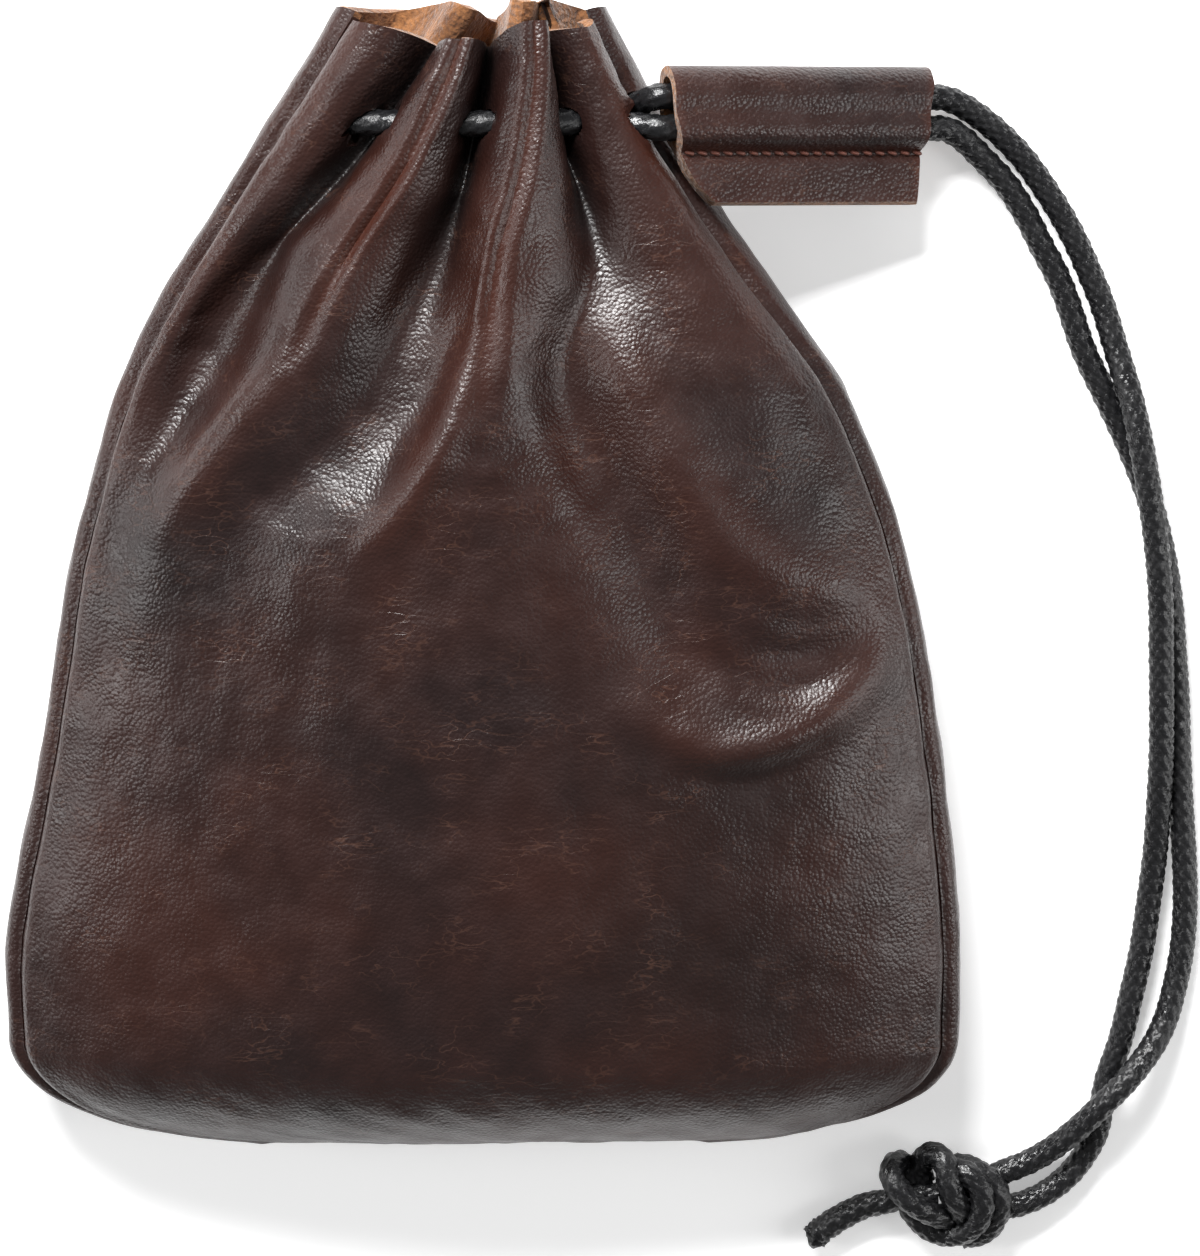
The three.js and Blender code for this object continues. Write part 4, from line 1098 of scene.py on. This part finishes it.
@dataclass
class LeatherPanel:
    """One panel of the pouch, cut, pierced for the cord, sewn to the other at the sides and the bottom."""

    form: PouchForm
    side: Side
    columns_per_fold: int
    rows: int
    bottom_rows: int = 26
    seam_gap: float = 0.3
    hole_reach: float = 1.72

    def build(self, wardrobe: Wardrobe, cord_path: np.ndarray) -> bpy.types.Object:
        """Makes the panel: the form's surface with its creases, the flesh side inside it, and the cut edges.

        Args:
            wardrobe: the finishes.
            cord_path: the cord's centreline, in millimetres.

        Returns:
            The piece.
        """
        folds = 8 if self.side is Side.FRONT else 10
        along = np.linspace(0, folds, folds * self.columns_per_fold + 1)
        start = 1 - self.form.corner_rise / self.form.length
        even = np.linspace(0, 1, self.rows) ** 1.25 * start
        turns = start + (1 - start) * np.sin(np.linspace(0, np.pi / 2, self.bottom_rows + 1))
        down = np.concatenate([even[:-1], turns])
        plain = self.form.surface(self.side, along, down)
        normal = self.normals(plain)
        steps = np.linalg.norm(np.diff(plain, axis=1), axis=2)
        travelled = np.concatenate([np.zeros((len(down), 1)), np.cumsum(steps, axis=1)], axis=1)
        relief, bent = self.relief(plain, normal, travelled, down)
        inset = np.minimum(travelled, travelled[:, -1:] - travelled)
        gap = self.seam_gap / 2 * np.exp(-inset / 0.6)
        inward = unit(np.gradient(plain, axis=1))
        middle = travelled < travelled[:, -1:] / 2
        shift = inward * np.where(middle, gap, -gap)[..., None] * (down < 1)[:, None, None]
        forward = 1 if self.side is Side.FRONT else -1
        shift[..., 2] += forward * self.seam_gap / 2 * np.clip((down - 0.985) / 0.015, 0, 1)[:, None] ** 4
        outer = plain + shift + normal * relief[..., None]
        inner = plain + shift + normal * (np.minimum(relief, 0.3) * 0.7 - self.form.leather)[..., None]
        outer[..., 2] = np.maximum(outer[..., 2], 0.0)
        points = np.concatenate([outer.reshape(-1, 3), inner.reshape(-1, 3)])
        kept, points = self.pierce(points, outer.shape[:2], cord_path)
        quads, slots = sheet_faces(*outer.shape[:2], kept, 2)
        if self.side is Side.BACK:
            quads = quads[:, ::-1]
        # real grey wax patches, and painted shade that darkens the deep valleys near the rim
        wax = np.maximum(self.wax_patches(plain), self.valley_painted_shade(along, down))
        double = [np.concatenate([values.ravel(), values.ravel()]) for values in (bent, wax)]
        return make_object(
            f"{self.side.value}_leather", points, quads, [wardrobe.leather, wardrobe.suede, wardrobe.suede], slots,
            sharp_degrees=60, bent=double[0], wax=double[1])

    def normals(self, points: np.ndarray) -> np.ndarray:
        """The outward normals: the cross product of the grid's two directions, straight out at the bottom edge."""
        down, along = np.gradient(points, axis=0), np.gradient(points, axis=1)
        normal = unit(np.cross(down, along) if self.side is Side.FRONT else np.cross(along, down))
        normal[-1] = (0, -1, 0)
        return normal

    def relief(
        self, points: np.ndarray, normal: np.ndarray, travelled: np.ndarray, down: np.ndarray,
    ) -> tuple[np.ndarray, np.ndarray]:
        """The small forms on the surface, as heights along its normals.

        They are the turned seams' grooves, the doubled crests of the two middle pleats, the belly's creases
        and random swells of the hide.

        Args:
            points: the plain surface.
            normal: its normals.
            travelled: the distance across it from the left seam.
            down: shares of the length.

        Returns:
            The heights in millimetres, and how much the finish is pulled up, from 0 to 1.
        """
        x, y, z = points[..., 0], points[..., 1], points[..., 2]
        inset = np.minimum(travelled, travelled[:, -1:] - travelled)
        rows_left = np.abs(np.gradient(y, axis=0)).cumsum(axis=0)
        to_bottom = np.linalg.norm(points - points[-1:], axis=2)
        height = -0.75 * np.exp(-(inset / 0.9) ** 2) + 0.25 * np.exp(-((inset - 2.0) / 1.2) ** 2)
        height += -0.7 * np.exp(-(to_bottom / 1.1) ** 2) + 0.2 * np.exp(-((to_bottom - 2.4) / 1.3) ** 2)
        bent = 0.12 * np.exp(-((inset - 1.6) / 0.9) ** 2)
        height += 0.22 * soft_noise(x / 11 + 3, y / 13, 1) + 0.13 * soft_noise(x / 4.2, (y + z) / 5.5, 2)
        height += 0.07 * soft_noise(travelled / 1.9, y / 2.4, 3)
        height += 0.10 * soft_noise(travelled / 2.2, y / 6.0, 4) * np.exp(-rows_left / 30)
        if self.side is Side.FRONT:
            for line, fade, spread in ((3, 0.30, 0.6), (5, 0.34, 1.0)):
                column = int(line * self.columns_per_fold)
                offset = travelled - travelled[:, column:column + 1]
                apart = 1.55 + spread * 9 * np.clip(down - 0.2, 0, 1)[:, None]
                strength = np.clip((fade - down) / 0.1, 0, 1)[:, None] ** 0.7
                groove = np.exp(-(offset / (0.55 * apart)) ** 2)
                crests = np.exp(-((np.abs(offset) - apart) / (0.5 * apart)) ** 2)
                height += strength * (0.3 * crests - 0.7 * groove)
                bent = bent + strength * (0.75 * groove + 0.25 * crests)
            facing = np.clip(normal[..., 2] * 2, 0, 1)
            for crease in BELLY_CREASES:
                found = crease.relief(x, y) * facing
                height += found
                bent = bent + 0.3 * np.clip(found, 0, 1)
            for line in (1, 7):
                column = int(line * self.columns_per_fold)
                offset = travelled - travelled[:, column:column + 1]
                bent = bent + 0.35 * np.exp(-(offset / 1.6) ** 2) * np.exp(-np.maximum(down - 0.1, 0) / 0.25)[:, None]
        return height, np.clip(bent, 0, 1)

    def wax_patches(self, points: np.ndarray) -> np.ndarray:
        """Where the wax lies thick and grey: round patches on the front, each a bell."""
        x, y = points[..., 0], points[..., 1]
        patches = ((27, -44, 17, 13), (-38, 3, 8, 10), (45, 12, 9, 12), (33, -22, 16, 8))
        found = sum(np.exp(-((x - cx) / rx) ** 2 - ((y - cy) / ry) ** 2) for cx, cy, rx, ry in patches)
        return np.clip(0.55 * found, 0, 0.6)

    def valley_painted_shade(self, along: np.ndarray, down: np.ndarray) -> np.ndarray:
        """Painted shade in the gathers' deep valleys, carried in the wax attribute: their depth's square, fading 45 mm
        below the rim.
        """
        depths = self.form.lines(self.side, down)[1] / self.form.fold_depth
        at = np.minimum(np.floor(along).astype(int), depths.shape[1] - 2)
        ease = (1 - np.cos(np.pi * (along - at))) / 2
        depth = depths[:, at] * (1 - ease) + depths[:, at + 1] * ease
        return np.clip(1.3 * depth ** 1.6, 0, 0.95) * np.clip((0.42 - down) / 0.2, 0, 1)[:, None]

    def pierce(self, points: np.ndarray, shape: tuple[int, int], cord_path: np.ndarray) -> tuple:
        """Leaves out the cells that the cord goes through, and draws their rims on to a circle about it.

        Args:
            points: outer then inner points.
            shape: rows and columns of each.
            cord_path: the cord's centreline.

        Returns:
            The kept cells, and the points.
        """
        near = np.flatnonzero(np.abs(points[:, 1] - cord_path[:, 1].mean()) < 9)
        distance = np.full(len(points), 99.0)
        nearest = np.zeros(len(points), int)
        for part in np.array_split(near, 24):
            gaps = np.linalg.norm(points[part][:, None] - cord_path[None], axis=2)
            distance[part], nearest[part] = gaps.min(axis=1), gaps.argmin(axis=1)
        inside = (distance < self.hole_reach).reshape(2, *shape).any(axis=0)
        hit = inside[:-1, :-1] | inside[1:, :-1] | inside[1:, 1:] | inside[:-1, 1:]
        rim = np.zeros(shape, bool)
        for rows, columns in ((slice(0, -1), slice(0, -1)), (slice(1, None), slice(0, -1)),
                              (slice(1, None), slice(1, None)), (slice(0, -1), slice(1, None))):
            rim[rows, columns] |= hit
        rim &= ~inside
        for layer in range(2):
            chosen = np.flatnonzero(rim.ravel()) + layer * shape[0] * shape[1]
            chosen = chosen[distance[chosen] < self.hole_reach + 1.0]
            centre = cord_path[nearest[chosen]]
            points[chosen] = centre + unit(points[chosen] - centre) * self.hole_reach
        return ~hit, points


@dataclass
class Studio:
    """A plain white paper floor, soft lights above and behind the neck, and the camera of the photograph."""

    aim: Point = (14.42, -5.55, 13.0)
    tilt: float = 10.0
    distance: float = 600.0
    frame_height: float = 150.72

    def camera(self) -> None:
        """Sets the camera above the pouch, a little to the side of the neck, looking down."""
        data = bpy.data.cameras.new("camera")
        data.sensor_fit = "VERTICAL"
        data.sensor_height = 36.0
        data.lens = 36.0 * self.distance / self.frame_height
        camera = bpy.data.objects.new("camera", data)
        lean = np.radians(self.tilt)
        away = np.array([0, np.sin(lean), np.cos(lean)]) * self.distance
        camera.location = (np.array(self.aim) + away) * MM
        camera.rotation_euler = (-lean, 0, 0)
        bpy.context.scene.collection.objects.link(camera)
        bpy.context.scene.camera = camera

    def lights(self) -> None:
        """Hangs the soft boxes and lights the white surroundings."""
        world = bpy.data.worlds.new("white_room")
        world.use_nodes = True
        world.node_tree.nodes["Background"].inputs["Color"].default_value = (1, 1, 1, 1)
        world.node_tree.nodes["Background"].inputs["Strength"].default_value = 0.22
        bpy.context.scene.world = world
        for name, place, size, power in (
            ("key_box", (-0.16, 0.54, 0.46), (0.34, 0.15), 11.0),
            ("left_box", (-0.75, 0.05, 0.42), (0.25, 0.5), 2.4),
            ("right_box", (0.75, -0.1, 0.42), (0.25, 0.5), 2.4),
        ):
            data = bpy.data.lights.new(name, "AREA")
            data.shape, data.size, data.size_y, data.energy = "RECTANGLE", size[0], size[1], power
            light = bpy.data.objects.new(name, data)
            light.location = place
            direction = np.array([0.01, 0.0, 0.01]) - np.array(place)
            light.rotation_euler = (
                float(np.arctan2(np.hypot(direction[0], direction[1]), -direction[2])), 0,
                float(np.arctan2(direction[1], direction[0]) - np.pi / 2))
            bpy.context.scene.collection.objects.link(light)

    def floor(self) -> None:
        """Lays the paper: a flat square of 4 m."""
        reach = 2000.0
        under = -0.05
        corners = np.array([
            [-reach, -reach, under], [reach, -reach, under], [reach, reach, under], [-reach, reach, under]])
        floor = make_object("paper_floor", corners, np.array([[0, 1, 2, 3]]), [PaperFloor().material()])


def main() -> None:
    """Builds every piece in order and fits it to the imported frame."""
    logging.basicConfig(level=logging.INFO, format="%(name)s: %(message)s")
    bpy.context.scene.view_settings.view_transform = "Standard"
    studio = Studio()
    studio.camera()
    wardrobe = Wardrobe()
    form = PouchForm()
    slide = CordSlide(form)
    cord = DrawCord(form, slide)
    held, outer, inner = cord.build(wardrobe)
    knot = EndKnot().build(wardrobe)
    cord_path = smooth_path(cord.neck_path(), 0.4)
    front = LeatherPanel(form, Side.FRONT, 26, 170).build(wardrobe, cord_path)
    back = LeatherPanel(form, Side.BACK, 18, 150).build(wardrobe, cord_path)
    strip, stitches = slide.build(wardrobe), slide.sew(wardrobe)
    for piece, node, slot in (
        (front, "front_panel", "leather"),
        (back, "back_panel", "leather"),
        (strip, "cord_slide", "leather"),
        (held, "neck_cord", "cord"),
        (outer, "cord_strand_outer", "cord"),
        (inner, "cord_strand_inner", "cord"),
        (knot, "end_knot", "cord"),
    ):
        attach(piece, "root")
        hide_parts(node)
        log.info("%s: %d faces for node %s", piece.name, len(piece.data.polygons), node)
    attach(stitches, "root")
    log.info("%s: %d faces", stitches.name, len(stitches.data.polygons))
    for strand, path in zip((outer, inner), cord.free_paths()):
        log.info("%s: %.1f mm free", strand.name, path_length(path))
    studio.lights()
    studio.floor()


if __name__ == "__main__":
    main()
